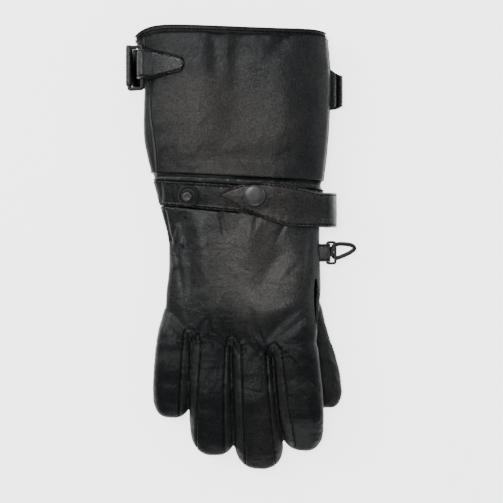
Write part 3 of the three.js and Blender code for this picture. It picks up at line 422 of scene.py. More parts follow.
CLIP_LINE = -0.315 * PALM_LENGTH
CLIP_Z = 0.55 * PALM_HEIGHT
CLIP_EDGE = float(sleeve_section(np.array(CLIP_LINE))["right"])
CLIP_LOOP = CLIP_RING_BAR / 2 + SEAM_GAP
CLIP_NEAR = (CLIP_EDGE + CLIP_TAB_LENGTH, CLIP_Z)
CLIP_EYE = 0.7 * CLIP_THICKNESS
CLIP_FAR = (CLIP_NEAR[0] + CLIP_LOOP * math.sqrt(2) + CLIP_TAB_THICKNESS + CLIP_EYE + 2 * SEAM_GAP, CLIP_Z)


def frame_shift():
    """How far the glove's own frame lies from the model's, from the middle of the clip's ring."""
    low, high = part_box("clip_ring")
    return (low + high) / 2 / MM - Vector(((CLIP_NEAR[0] + CLIP_FAR[0]) / 2, CLIP_LINE, CLIP_Z))


SHIFT = frame_shift()


def in_scene(name, data):
    made = bpy.data.objects.new(name, data)
    bpy.context.scene.collection.objects.link(made)
    return made


def make_object(name, points, faces, angle=38):
    """An object from points in millimetres in the glove's own frame, shaded smooth."""
    mesh = bpy.data.meshes.new(name)
    moved = (np.asarray(points, float) + np.array(SHIFT)) * MM
    mesh.from_pydata(moved.tolist(), [], [tuple(face) for face in faces])
    mesh.update()
    piece = in_scene(name, mesh)
    shade(piece, angle)
    return piece


def shade(piece, angle=38):
    piece.data.shade_smooth()
    piece.data.set_sharp_from_angle(angle=math.radians(angle))


def strip(a, b):
    return [(a[i], a[i + 1], b[i + 1], b[i]) for i in range(len(a) - 1)]


def facing_out(points, faces):
    """Turns all faces round if the solid came out inside out."""
    volume = sum(float(np.dot(points[f[0]], np.cross(points[f[k]], points[f[k + 1]])))
                 for f in faces for k in range(1, len(f) - 1))
    return [tuple(f[::-1]) if volume < 0 else tuple(f) for f in faces]


def sheet_mesh(outer, inner, around=False):
    """A closed sheet between two grids of points, each rows by columns by 3. around joins the
    last column to the first."""
    rows, columns = outer.shape[:2]
    count = rows * columns
    index = np.arange(count).reshape(rows, columns)
    if around:
        index = np.concatenate([index, index[:, :1]], 1)
    faces = [(index[r, c], index[r, c + 1], index[r + 1, c + 1], index[r + 1, c])
             for r in range(rows - 1) for c in range(index.shape[1] - 1)]
    faces += [tuple(i + count for i in face[::-1]) for face in faces]
    edges = [(index[0], False), (index[-1], True)]
    if not around:
        edges += [(index[:, 0], True), (index[:, -1], False)]
    for edge, flip in edges:
        band = strip(edge, edge + count)
        faces += band if flip else [quad[::-1] for quad in band]
    points = np.concatenate([outer.reshape(-1, 3), inner.reshape(-1, 3)])
    return points, facing_out(points, faces)


def loft_mesh(rings):
    """A closed solid through rings of points, rows by sides by 3."""
    rows, sides = rings.shape[:2]
    index = np.arange(rows * sides).reshape(rows, sides)
    after = np.roll(index, -1, 1)
    faces = [(index[r, c], after[r, c], after[r + 1, c], index[r + 1, c])
             for r in range(rows - 1) for c in range(sides)]
    points = np.concatenate([rings.reshape(-1, 3), rings[:1].mean(1), rings[-1:].mean(1)])
    first, last = rows * sides, rows * sides + 1
    for c in range(sides):
        faces += [(first, after[0, c], index[0, c]), (last, index[-1, c], after[-1, c])]
    return points, facing_out(points, faces)


def read_vectors(items, key):
    values = np.empty(len(items) * 3)
    items.foreach_get(key, values)
    return values.reshape(-1, 3)


def points_of(piece):
    return read_vectors(piece.data.vertices, "co") / MM - np.array(SHIFT)


def normals_of(piece):
    return read_vectors(piece.data.vertices, "normal")


def emboss(piece, relief):
    """Moves the skin in or out by relief(points, normals), but not below the table."""
    p, n = points_of(piece), normals_of(piece)
    moved = p + n * relief(p, n)[:, None]
    moved[:, 2] = np.maximum(moved[:, 2], 0.0)
    piece.data.vertices.foreach_set("co", ((moved + np.array(SHIFT)) * MM).ravel())
    piece.data.update()


def apply_modifiers(piece):
    evaluated = piece.evaluated_get(bpy.context.evaluated_depsgraph_get())
    mesh = bpy.data.meshes.new_from_object(evaluated)
    piece.modifiers.clear()
    old = piece.data
    piece.data = mesh
    mesh.name = piece.name
    bpy.data.meshes.remove(old)


def remeshed(name, parts, voxel, rounds):
    """One soft skin round several closed parts that run into each other."""
    points, faces, start = [], [], 0
    for part_points, part_faces in parts:
        points.append(part_points)
        faces += [tuple(i + start for i in face) for face in part_faces]
        start += len(part_points)
    piece = make_object(name, np.concatenate(points), faces)
    remesh = piece.modifiers.new("voxels", "REMESH")
    remesh.mode = "VOXEL"
    remesh.voxel_size = voxel * MM
    soften = piece.modifiers.new("soften", "SMOOTH")
    soften.factor = 0.5
    soften.iterations = rounds
    apply_modifiers(piece)
    return piece


def cut(piece, other, operation="DIFFERENCE"):
    """Cuts a piece by another closed one, which is used up."""
    change = piece.modifiers.new("cut", "BOOLEAN")
    change.operation = operation
    change.solver = "MANIFOLD"
    change.object = other
    apply_modifiers(piece)
    discard(other)
    return piece


def copy_of(piece, name):
    twin = piece.copy()
    twin.data = piece.data.copy()
    twin.name = name
    bpy.context.scene.collection.objects.link(twin)
    return twin


def discard(*pieces):
    for piece in pieces:
        bpy.data.objects.remove(piece, do_unlink=True)


# Hand: palm and fingers as one soft skin, cut into panels

CROTCH = {key: float(value) for key, value in sleeve_section(np.array(-PALM_LENGTH)).items()}


def crotch_line(x):
    return -PALM_LENGTH + CROTCH["skew"] * (x - CROTCH["middle"])


class Finger:
    """A finger's form by its share, from 0 at the end hidden in the palm to 1 at the tip."""

    def __init__(self, row):
        self.__dict__.update(row)
        self.root_x, self.top = self.root * PALM_WIDTH, crotch_line(self.root * PALM_WIDTH)
        self.length, self.inset = self.long * FINGER_LENGTH, ROOT_INSET * PALM_LENGTH
        self.whole = self.length + self.inset
        self.widths = table("share wide", (0, self.wide_root), (0.5, self.wide_middle), (1, self.wide_tip))

    def at(self, share):
        bow = self.bow * PALM_WIDTH * np.sin(math.pi * share)
        x = mix(self.root_x, self.tip * PALM_WIDTH, share) + bow
        return x, self.top + self.inset - share * self.whole

    def share_at(self, y):
        return (self.top + self.inset - y) / self.whole

    def clipped_share(self, y):
        return np.clip(self.share_at(y), 0, 1)

    def width(self, share):
        return read_table(self.widths, "share", share)["wide"] * PALM_WIDTH - FINGER_GAP

    def edge(self, share, side):
        return self.at(share)[0] + side * self.width(share) / 2

    def under(self, share):
        """The height of the finger's underside."""
        y = self.at(share)[1]
        on_palm = lift_at(sleeve_section(np.maximum(y, -PALM_LENGTH)), self.root_x)
        lift = np.where(y > self.top, on_palm, lift_at(CROTCH, self.root_x))
        arch = self.arch * FINGER_HEIGHT * np.sin(math.pi * smooth(0.12, 1, share))
        return lift * (1 - smooth(self.droop, 1, share)) + arch


FINGERS = [Finger(row) for row in FINGER_ROWS]
FINGER_PAIRS = list(zip(FINGERS, FINGERS[1:]))


def outline_of(left, right, y):
    """A closed plan between two lines down the glove."""
    return np.concatenate([places(left, y), places(right, y)[::-1]])


def oval_mesh(x, y, half, upper, middle, floor, tall, crease, sides=44):
    """A finger's solid through flat-bottomed ovals, from their measures along it."""
    x, y, half, upper, middle, floor, tall, crease = (
        np.reshape(value, (-1, 1)) for value in (x, y, half, upper, middle, floor, tall, crease))
    c = signed_power(np.cos(circle(sides)), 2 / FINGER_FULLNESS)
    s = signed_power(np.sin(circle(sides)), 2 / FINGER_FULLNESS)
    flat = np.where(s < 0, FLAT_SHARE, 0) * tall
    z = np.maximum(middle + (upper + flat) * s, floor) - crease * np.maximum(s, 0)
    return loft_mesh(places(x + half * c, y, z))


def tip_round(share):
    into = np.maximum((share - (1 - TIP_SHARE)) / TIP_SHARE, 0)
    return np.sqrt(np.maximum(1 - into**2.4, 0))


def finger_mesh(finger, depth, stations=64):
    whole = finger.whole
    last = 1 - depth / whole
    share = np.sin(np.linspace(0, math.pi / 2, stations)) * 0.999 * last
    x, y = finger.at(share)
    round_ = tip_round(share / last)
    root = np.minimum(share * whole / finger.inset, 1)
    half = finger.width(share) / 2 * mix(FINGER_END, 1, round_) * mix(FINGER_ROOT, 1, root)
    tall = FINGER_HEIGHT * mix(0.84, 1.04, root) * mix(1, 0.88, share)
    upper = np.maximum(tall / 2 * (0.3 + 0.7 * round_) - depth, THINNEST)
    crease = sum(row["deep"] * FINGER_HEIGHT * bell(share - row["along"], row["wide"])
                 for row in FINGER_CREASES)
    low = finger.under(share)
    return oval_mesh(x, y, np.maximum(half - depth, THINNEST), upper, low + tall / 2, low + depth, tall, crease)


def palm_mesh(depth, lines=70, sides=150):
    y = np.linspace(WRIST_LENGTH / 2 if depth > 0 else 0.0, -PALM_LENGTH + max(depth, 0), lines)
    turn = np.arange(sides) / sides
    rings = [sleeve_point(*np.meshgrid(y, turn, indexing="ij"), depth)]
    for past in np.linspace(0.15, 1, 7):
        sunk = 0.42 * PALM_HEIGHT * (1 - math.sqrt(1 - 0.97 * past**2))
        rings.append(sleeve_point(y[-1:, None] - past * PALM_END, turn[None, :], depth + sunk))
    return loft_mesh(np.concatenate(rings))


def thumb_mesh(depth, stations=60):
    s = np.sin(np.linspace(0, math.pi / 2, stations)) * 0.999
    share = s * (1 - depth / THUMB_LENGTH)
    row = read_table(THUMB_ROWS, "y", share)
    round_ = tip_round(s)
    half = row["wide"] * THUMB_WIDTH / 2 * (0.25 + 0.75 * round_) - depth
    upper = THUMB_HEIGHT / 2 * (0.4 + 0.6 * round_) - depth
    rise = np.maximum(row["rise"], 0) * THUMB_HEIGHT
    return oval_mesh(row["x"] * PALM_WIDTH, THUMB_BASE - share * THUMB_LENGTH, half, upper,
                     THUMB_HEIGHT / 2 + rise, rise + depth, THUMB_HEIGHT, 0)


def finger_seam(finger, side, spread):
    """The seam between a finger's panel and the fourchette beside it, in plan."""
    ends = (finger.right_root, finger.right_tip) if side > 0 else (finger.left_root, finger.left_tip)
    shown = mix(*ends, np.linspace(0, 1, 24)) + spread
    share = np.linspace((finger.inset + 0.1 * finger.length) / finger.whole, 1.08, 24)
    x, y = finger.at(share)
    return places(x + side * (finger.width(np.minimum(share, 1)) / 2 - shown), y)


def fourchette_plan(left, right, spread):
    """One fourchette in plan: a round arch at the crotch, then down both sides of the gap."""
    down = finger_seam(left, 1, spread)
    up = finger_seam(right, -1, spread)[::-1].copy()
    middle = (down[0] + up[-1]) / 2
    half = up[-1] - middle
    rise = crotch_line(middle[0]) + CROTCH_RISE + spread - middle[1]
    angle = np.linspace(0, math.pi, 16)[1:-1, None]
    arch = middle + half * np.cos(angle) + np.array([0, rise]) * np.sin(angle)
    low = min(down[-1, 1], up[0, 1])
    down[-1, 1] = up[0, 1] = low
    return np.concatenate([arch, down, up])


def web_mesh(left, right, depth, stations=18, sides=24):
    """The puffed leather that closes the gap between two fingers just below their crotch."""
    top = crotch_line((left.root + right.root) / 2 * PALM_WIDTH)
    y = np.linspace(top + 3.0, top - WEB_LENGTH + depth, stations)
    on_left, on_right = left.share_at(y), right.share_at(y)
    middle = (left.edge(on_left, 1) + right.edge(on_right, -1)) / 2
    into = np.clip((top - y) / WEB_LENGTH, 0, 1)
    half = np.maximum(mix(*WEB_HALF, into) - depth, THINNEST)
    low = (left.under(on_left) + right.under(on_right)) / 2 + 0.12 * FINGER_HEIGHT + depth
    high = low - depth + FINGER_HEIGHT * mix(*WEB_TALL, into**1.3) - depth
    tall = np.maximum((high - low) / 2, THINNEST)
    middle, half, y, centre, tall = (value[:, None] for value in (middle, half, y, (low + high) / 2, tall))
    return loft_mesh(places(middle + half * np.cos(circle(sides)), y, centre + tall * np.sin(circle(sides))))


def gap_plan(left, right, half):
    """The thin cut that parts two fingers, in plan."""
    y = np.linspace(max(left.top, right.top) - WEB_LENGTH - 1, crotch_line(0) - 1.12 * FINGER_LENGTH, 30)
    middle = (left.edge(left.clipped_share(y), 1) + right.edge(right.clipped_share(y), -1)) / 2
    return outline_of(middle - half, middle + half, y)


def gap_floor(left, right, y):
    """The middle height of the higher of two fingers, at places along them."""
    return np.maximum(*(f.under(f.clipped_share(y)) for f in (left, right))) + 0.56 * FINGER_HEIGHT


def hollow_plan():
    """The gap between the back and the palm along the thumb edge, in plan."""
    y = np.linspace(HOLLOW_ROWS[0]["y"], HOLLOW_ROWS[-1]["y"], 24)
    rows = read_table(HOLLOW_ROWS, "y", y)
    return outline_of(rows["left"], rows["right"], y)


def prism_object(name, plan, low, high):
    count = len(plan)
    points = np.concatenate([np.column_stack([plan, np.full(count, z)]) for z in (low, high)])
    faces = [(i, (i + 1) % count, count + (i + 1) % count, count + i) for i in range(count)]
    faces += [tuple(range(count))[::-1], tuple(range(count, 2 * count))]
    return make_object(name, points, facing_out(points, faces))


def side_seam_height(x, y):
    s = sleeve_section(np.clip(y, -PALM_LENGTH, WRIST_LENGTH))
    palm = s["floor"] + s["tall"] * SIDE_SEAM_SHARE + lift_at(s, x)
    rows = []
    for finger in FINGERS:
        share = finger.clipped_share(y)
        rows.append((finger.at(share)[0], finger.under(share) + FINGER_HEIGHT * SIDE_SEAM_SHARE))
    z = rows[0][1]
    for (x0, _), (x1, z1) in zip(rows, rows[1:]):
        z = mix(z, z1, np.clip((x - x0) / (x1 - x0), 0, 1))
    return mix(z, palm, smooth(-PALM_LENGTH * 1.05, -PALM_LENGTH * 0.8, y))


def seam_block(side):
    """A block from the side seam up or down past the glove."""
    yy, xx = np.meshgrid(np.linspace(-PALM_LENGTH - 1.3 * FINGER_LENGTH, WRIST_LENGTH, 90),
                         np.linspace(-PALM_WIDTH, PALM_WIDTH, 70), indexing="ij")
    seam = places(xx, yy, side_seam_height(xx, yy) + side * SEAM_GAP / 2)
    return make_object("seam_block", *sheet_mesh(seam, places(xx, yy, side * 3 * PALM_HEIGHT)))


def distance_to_line(x, y, line):
    """Distance in plan from many places to a line of points."""
    best = np.full(x.shape, 1e9)
    for (x0, y0), (x1, y1) in zip(line[:-1], line[1:]):
        dx, dy = x1 - x0, y1 - y0
        share = np.clip(((x - x0) * dx + (y - y0) * dy) / (dx * dx + dy * dy + 1e-9), 0, 1)
        best = np.minimum(best, np.hypot(x - x0 - share * dx, y - y0 - share * dy))
    return best


def seam_profile(distance):
    """Leather beside a sewn seam: a sharp valley, then a low puffed shoulder."""
    return -0.95 * bell(distance, 0.55) + 0.16 * bell(distance - 1.9, 1.1)


def web_pleats(left, right, x, y):
    """Gathers that run in from a fourchette's arch towards the gap."""
    middle = (finger_seam(left, 1, 0)[0, 0] + finger_seam(right, -1, 0)[0, 0]) / 2
    dx, dy = x - middle, y - (crotch_line(middle) - 0.75 * WEB_LENGTH)
    far, turn = np.hypot(dx, dy), np.arctan2(dy, dx)
    within = (smooth(1.5, 4.0, far) * (1 - smooth(8.5, 11.0, far)) * smooth(-0.4, 0.3, turn)
              * smooth(-0.4, 0.3, math.pi - turn))
    return 0.5 * within * np.sin(13 * turn + 0.35 * far)


def hand_relief(p, n):
    """How far each point of the hand's skin stands in or out of its plain form."""
    x, y, z = p.T
    up = np.maximum(n[:, 2], 0)
    relief = up * crease_at(x, y)
    for row in HAND_LINES:
        line = np.array([[row["x0"], row["y0"]], [row["x1"], row["y1"]]])
        relief += row["deep"] * bell(distance_to_line(x, y, line), row["wide"]) * (n[:, 2] > 0)
    for left, right in FINGER_PAIRS:
        relief += up * web_pleats(left, right, x, y)
    seam = np.full(len(p), FAR_OFF)
    for left, right in FINGER_PAIRS:
        plan = fourchette_plan(left, right, 0)
        seam = np.minimum(seam, distance_to_line(x, y, np.concatenate([plan, plan[:1]])))
    side_seam = np.abs(z - side_seam_height(x, y))
    on_edge = smooth(0.55, 0.85, np.abs(n[:, 0])) + smooth(0.5, 0.8, -n[:, 1])
    relief += seam_profile(np.minimum(seam / np.maximum(np.abs(n[:, 2]), 0.25),
                                      np.where(on_edge > 0.5, side_seam, FAR_OFF)))
    fingers = smooth(-0.75 * PALM_LENGTH, -PALM_LENGTH, y)
    relief += (0.07 + 0.13 * fingers) * crumple(p * np.array([1.0, 0.45, 1.0]), 7.0, 3)
    relief += (0.05 + 0.13 * fingers) * crumple(p * np.array([0.5, 1.0, 1.0]), 4.5, 11)
    return relief + 0.35 * value_noise(p, 18.0, 5)


def hand_pieces():
    """The hand's panels: palm and fingers as one soft skin, hollowed and cut along the seams."""
    def form(depth):
        return ([palm_mesh(depth)] + [finger_mesh(finger, depth) for finger in FINGERS]
                + [web_mesh(left, right, depth) for left, right in FINGER_PAIRS])

    skin = remeshed("hand_skin", form(0), SKIN_VOXEL, SKIN_ROUNDS)
    lining = remeshed("hand_lining", form(WALL), LINING_VOXEL, 2)
    emboss(skin, hand_relief)
    cut(skin, lining)
    cut(skin, make_object("thumb_core", *thumb_mesh(0)))
    cut(skin, prism_object("hollow", hollow_plan(), side_seam_height(*hollow_plan().T) + 0.4, ABOVE))
    for left, right in FINGER_PAIRS:
        plan = gap_plan(left, right, BLADE_HALF)
        cut(skin, prism_object("blade", plan, gap_floor(left, right, plan[:, 1]), ABOVE))
    pieces = {}
    panels = copy_of(skin, "panels")
    for name, (left, right) in zip(("little_ring", "ring_middle", "middle_first"), FINGER_PAIRS):
        zone, wide = (prism_object("zone", fourchette_plan(left, right, spread), BELOW, ABOVE)
                      for spread in (0, PANEL_SPREAD))
        pieces["fourchette_" + name] = cut(copy_of(skin, "fourchette_" + name), zone, "INTERSECT")
        cut(panels, wide)
    for name, side in (("hand_back", 1), ("hand_palm", -1)):
        pieces[name] = cut(copy_of(panels, name), seam_block(side), "INTERSECT")
    discard(skin, panels)
    for piece in pieces.values():
        largest_part(piece)
        shade(piece)
    return pieces


def largest_part(piece):
    """Keeps the biggest joined part of a mesh and drops crumbs left by a cut."""
    mesh = piece.data
    parent = np.arange(len(mesh.vertices))
    edges = np.empty(len(mesh.edges) * 2, int)
    mesh.edges.foreach_get("vertices", edges)
    a, b = edges.reshape(-1, 2).T
    before = None
    while before is None or not np.array_equal(before, parent):
        before = parent.copy()
        low = np.minimum(parent[a], parent[b])
        np.minimum.at(parent, a, low)
        np.minimum.at(parent, b, low)
        parent = parent[parent]
    labels, counts = np.unique(parent, return_counts=True)
    if len(labels) < 2:
        return
    keep = parent == labels[counts.argmax()]
    new = np.cumsum(keep) - 1
    faces = [tuple(int(new[i]) for i in face.vertices) for face in mesh.polygons if keep[face.vertices[0]]]
    clean = bpy.data.meshes.new(piece.name)
    clean.from_pydata(read_vectors(mesh.vertices, "co")[keep].tolist(), [], faces)
    clean.update()
    piece.data = clean


def thumb_piece():
    def relief(p, n):
        slanted = places(p[:, 0] + 0.7 * p[:, 1], 0.35 * (p[:, 1] - 0.7 * p[:, 0]), p[:, 2])
        soft = 0.5 * crumple(slanted, 6.0, 21) + 0.25 * value_noise(p, 12.0, 22)
        return soft + seam_profile(np.abs(p[:, 2] - THUMB_HEIGHT * 0.55)) * smooth(0.6, 0.85, np.abs(n[:, 0]))

    thumb = remeshed("thumb", [thumb_mesh(0)], SKIN_VOXEL, THUMB_ROUNDS)
    lining = remeshed("thumb_lining", [thumb_mesh(WALL)], LINING_VOXEL, 1)
    emboss(thumb, relief)
    cut(thumb, lining)
    hand = [palm_mesh(-SEAM_GAP)] + [finger_mesh(finger, -SEAM_GAP) for finger in FINGERS]
    cut(thumb, remeshed("clear", hand, LINING_VOXEL, 0))
    largest_part(thumb)
    shade(thumb)
    return thumb


# Cuff and wrist

def sleeve_sheet(name, lines, turns, relief, proud=0.0, around=False):
    """A panel of the sleeve with relief(points, line share, turn share, normal) on its outer side."""
    yy = np.broadcast_to(lines[:, None], turns.shape)
    outer = sleeve_point(yy, turns, -proud)
    ahead = sleeve_point(yy, turns + 0.002, -proud)
    down = sleeve_point(yy - 0.5, turns, -proud)
    normal = unit(np.cross(down - outer, ahead - outer))
    u = np.linspace(0, 1, turns.shape[1])[None, :]
    v = np.linspace(0, 1, len(lines))[:, None]
    outer = outer + normal * relief(outer, v, u, normal)[..., None]
    outer[..., 2] = np.maximum(outer[..., 2], sleeve_section(yy)["floor"])
    return make_object(name, *sheet_mesh(outer, sleeve_point(yy, turns, WALL), around))


def edge_roll(share, span, radius):
    """Rounds a panel's edge: 0 inside and falling to -radius at either end of a share."""
    inside = np.clip(1 - np.minimum(share, 1 - share) * span / radius, 0, 1)
    return -radius * (1 - np.sqrt(1 - 0.96 * inside**2)) * 0.9


CUFF_LINES = np.linspace(WRIST_LENGTH + SEAM_GAP, HEM_LINE - BINDING_WIDTH, 130)
THUMB_EDGE_TURN = -0.012
GUSSET_PALM_TURN = 0.54
GUSSET_SPAN = 12
BAND_LENGTH = WRIST_LENGTH - GATHER_LENGTH
CAP_PLACE = (0.085 * WRIST_WIDTH, 0.47 * WRIST_LENGTH)
STUD_PLACE = (-0.326 * WRIST_WIDTH, 0.46 * WRIST_LENGTH)


def gusset_back_turn(y):
    seam = read_table(GUSSET_ROWS, "along", (y - WRIST_LENGTH) / CUFF_LENGTH)["seam"]
    return turn_from_edge(y, seam * CUFF_WIDTH)


def cuff_relief(points, v, u, normal):
    soft = 0.32 * noise_on(points, 22.0, 41) + 0.16 * noise_on(points, 8.0, 42)
    soft += 0.06 * crumple_on(points, (1.0, 0.6, 1.0), 5.0, 43)
    creases = crease_at(points[..., 0], points[..., 1]) * np.maximum(normal[..., 2], 0)
    under_hem = bell((1 - v) * CUFF_LENGTH, 4.0)
    ripple = 0.12 * under_hem * np.sin(points[..., 0] * 0.9 + 2 * np.sin(points[..., 0] * 0.21))
    return soft + creases + ripple + edge_roll(v, CUFF_LENGTH, 1.2)


def cuff_panel(name, first, last, columns, span, ridge=lambda u: 0):
    """A panel of the cuff between two edges, each a turn or a function of the line."""
    first, last = (edge(CUFF_LINES) if callable(edge) else np.full(len(CUFF_LINES), edge)
                   for edge in (first, last))
    turns = mix(first[:, None], last[:, None], np.linspace(0, 1, columns)[None, :])
    return sleeve_sheet(name, CUFF_LINES, turns,
                        lambda p, v, u, n: cuff_relief(p, v, u, n) + edge_roll(u, span, 1.3) + ridge(u))


def cuff_pieces():
    gap = PANEL_GAP_TURN
    spans = {
        "cuff_back": (THUMB_EDGE_TURN, lambda y: gusset_back_turn(y) - gap, 190, 140),
        "cuff_gusset": (gusset_back_turn, GUSSET_PALM_TURN, 40, GUSSET_SPAN,
                        lambda u: 0.55 * bell(u * GUSSET_SPAN - 1.5, 0.8)),
        "cuff_palm": (GUSSET_PALM_TURN + gap, 1 + THUMB_EDGE_TURN - gap, 120, 130),
    }
    return {name: cuff_panel(name, *span) for name, span in spans.items()}


def round_the_wrist(name, start, end, lines, relief, proud=0.0, count=420):
    """A band all the way round the sleeve."""
    turns = np.broadcast_to((np.arange(count) / count)[None, :], (lines, count))
    return sleeve_sheet(name, np.linspace(start, end, lines), turns, relief, proud, around=True)


def cuff_binding():
    def relief(points, v, u, normal):
        roll = BINDING_PROUD * (np.sqrt(np.maximum(1 - (2 * v - 1) ** 4, 0.0)) - 0.35)
        line = -0.5 * bell(v - 0.42, 0.06) * np.abs(normal[..., 2])
        return roll + line + 0.14 * crumple_on(points, (1.0, 0.25, 1.0), 2.6, 51) * np.sin(math.pi * v)

    return round_the_wrist("cuff_binding", HEM_LINE - BINDING_WIDTH + SEAM_GAP, HEM_LINE, 26, relief)


def wrist_gather():
    def relief(points, v, u, normal):
        puff = 1.7 * np.sqrt(np.maximum(np.sin(math.pi * np.clip(v, 0.001, 0.999)), 0)) - 0.5
        return puff + 0.35 * crumple_on(points, (1.0, 0.3, 1.0), 5.0, 61) * np.sin(math.pi * v)

    return round_the_wrist("wrist_gather", WRIST_LENGTH - GATHER_LENGTH + SEAM_GAP, WRIST_LENGTH, 22, relief)


def wrist_band():
    def relief(points, v, u, normal):
        edge = edge_roll(v, BAND_LENGTH, 0.9)
        rows = -0.3 * (bell(v - 0.1, 0.02) + bell(v - 0.9, 0.02))
        squeeze = np.array((1.0, 0.35, 1.0))
        pucker = 0.4 * crumple_on(points, squeeze, 6.0, 71) + 0.4 * noise_on(points * squeeze, 11.0, 72)
        ends = 0.3 * np.sin(points[..., 0] * 1.15) * (bell(v, 0.12) + bell(1 - v, 0.12))
        rims = 0.38 * (bell(v - 0.04, 0.035) + bell(v - 0.96, 0.035))
        dx, dy = points[..., 0] - STUD_PLACE[0], points[..., 1] - STUD_PLACE[1]
        far, turn = np.hypot(dx, dy), np.arctan2(dy, dx)
        fan = 0.9 * bell(far - 13.0, 5.0) * np.maximum(np.cos(turn), 0) * np.sin(11 * turn)
        return edge + rows + rims + fan * (normal[..., 2] > 0) + pucker + ends

    return round_the_wrist("wrist_band", SEAM_GAP, BAND_LENGTH, 60, relief, BAND_PROUD)


# Straps

def ribbon(name, near, thickness, groove=1.6, relief=None):
    """A leather strap on a grid of points, columns across by rows along, with rounded edges
    and a sunk stitch line. The far side stands off square to the near side."""
    normal = grid_normals(near)
    run, walk = walked(near), walked(near.swapaxes(0, 1)).T
    edge = np.minimum(np.minimum(run, run[-1:] - run), np.minimum(walk, walk[:, -1:] - walk) + 0.3)
    rounding = np.sqrt(1 - np.clip(1 - edge / 0.8, 0, 1) ** 2)
    amount = (thickness * (0.45 + 0.55 * rounding) - 0.45 * bell(edge - groove, 0.45)
              + 0.42 * bell(edge - 0.7, 0.4))
    if relief is not None:
        amount = amount + relief(near)
    far = near + normal * amount[..., None]
    low = near + normal * (thickness * 0.3 * (1 - rounding))[..., None]
    return make_object(name, *sheet_mesh(far, low)), far, edge


def smooth_path(points, count):
    """Evenly spaced points on a smooth curve through places."""
    p = np.asarray(points, float)
    dense = []
    for i in range(len(p) - 1):
        a, b, c, d = p[max(i - 1, 0)], p[i], p[i + 1], p[min(i + 2, len(p) - 1)]
        for t in np.linspace(0, 1, 24, endpoint=i == len(p) - 2):
            dense.append(0.5 * (2 * b + (c - a) * t + (2 * a - 5 * b + 4 * c - d) * t**2
                                + (3 * b - a - 3 * c + d) * t**3))
    walk = walked(np.array(dense))
    return on_line(np.linspace(0, walk[-1], count), walk, np.array(dense)).T


def arc(middle, radius, start, end, count):
    angle = np.radians(np.linspace(start, end, count))
    return [(middle[0] + radius * math.cos(a), middle[1] + radius * math.sin(a)) for a in angle]


STRAP_LINE = 0.5 * WRIST_LENGTH
STRAP_RIGHT = float(sleeve_section(np.array(STRAP_LINE))["right"])
STRAP_POINT_X = -0.153 * WRIST_WIDTH
STRAP_LEAVE_X = 0.36 * WRIST_WIDTH
STRAP_NOSE_X = STRAP_RIGHT + STRAP_STAND_OFF


def strap_under(x, y):
    return height_clear(x, y, REST_GAP, BAND_PROUD)


def wrist_strap():
    turn_x = STRAP_NOSE_X - STRAP_THICKNESS
    near_turn = mix(STRAP_LEAVE_X, turn_x, 0.87)
    x = mix(STRAP_POINT_X, STRAP_LEAVE_X, np.linspace(0, 1, 110) ** 1.25)
    row = read_table(STRAP_ROWS, "along", np.minimum((x - STRAP_POINT_X) / (STRAP_RIGHT - STRAP_POINT_X), 1))
    columns = []
    for share in np.linspace(0, 1, 30):
        y = STRAP_LINE + STRAP_WIDTH * mix(row["low"], row["high"], share)
        z = strap_under(x, y)
        route = smooth_path([
            (x[-1], z[-1]), (mix(STRAP_LEAVE_X, turn_x, 0.55), z[-1] - 0.1 * WRIST_HEIGHT),
            (near_turn, z[-1] - 0.17 * WRIST_HEIGHT), (turn_x, 0.52 * WRIST_HEIGHT),
            (near_turn, 0.3 * WRIST_HEIGHT), (STRAP_RIGHT + BAND_PROUD + 3 * SEAM_GAP, 0.3 * WRIST_HEIGHT),
        ], 80)[1:]
        end = STRAP_LINE + STRAP_WIDTH * mix(STRAP_ROWS[-1]["low"], STRAP_ROWS[-1]["high"], share)
        fold_y = mix(y[-1], end, smooth(0, 0.4, np.linspace(0, 1, len(route))))
        columns.append(np.concatenate([places(x, y, z), places(route[:, 0], fold_y, route[:, 1])]))
    return ribbon("wrist_strap", np.array(columns), STRAP_THICKNESS,
                  relief=lambda p: 0.1 * crumple_on(p, (1, 1, 1), 5.0, 81) + 0.12 * noise_on(p, 12.0, 82))


TAB_LINE = WRIST_LENGTH + TAB_SHARE * CUFF_LENGTH
RING_LINE = TAB_LINE - RING_SLIDE
BULGE_LINE = WRIST_LENGTH + BULGE_SHARE * CUFF_LENGTH
RING_HELD_WIDTH = CUFF_STRAP_WIDTH + 2 * RING_CLEARANCE
BAR_HALF = RING_BAR / 2
LOOP_RADIUS = BAR_HALF + SEAM_GAP
RING_LEFT = float(sleeve_section(np.array(RING_LINE))["left"])
NEAR_X = float(sleeve_section(np.array(TAB_LINE))["left"]) + 0.5 * RING_BAR
NEAR_BAR = (NEAR_X, float(top_height(np.array(NEAR_X + LOOP_RADIUS + TAB_THICKNESS), np.array(TAB_LINE)))
            + 3 * REST_GAP + TAB_THICKNESS + BAR_HALF)
FAR_BAR = (NEAR_BAR[0] - RING_REACH * math.cos(RING_TILT), NEAR_BAR[1] - RING_REACH * math.sin(RING_TILT))


def cuff_tab():
    round_ = 1.45 * LOOP_RADIUS
    turn_x = NEAR_BAR[0] + round_ + 3 * TAB_THICKNESS
    along = np.linspace(0.002, 1, 60) ** 1.4
    x = turn_x + (TAB_LENGTH - 3 * TAB_THICKNESS) * (1 - along)
    point = np.sqrt(np.minimum(1, 1 - (1 - np.minimum(along / 0.17, 1)) ** 2))
    loop = np.array(arc(NEAR_BAR, round_, 75, 285, 50))
    columns = []
    for share in np.linspace(-1, 1, 26):
        y = TAB_LINE + share * TAB_WIDTH / 2 * mix(0.5, 1.05, along) * point
        z = height_clear(x, y, REST_GAP)
        bridge = smooth_path([(x[-1], z[-1]), tuple(loop[0])], 8)[1:-1]
        fold = np.concatenate([bridge, loop])
        columns.append(np.concatenate([places(x, y, z), places(fold[:, 0], y[-1], fold[:, 1])]))
    return ribbon("cuff_tab", np.array(columns)[::-1], TAB_THICKNESS, groove=1.5)


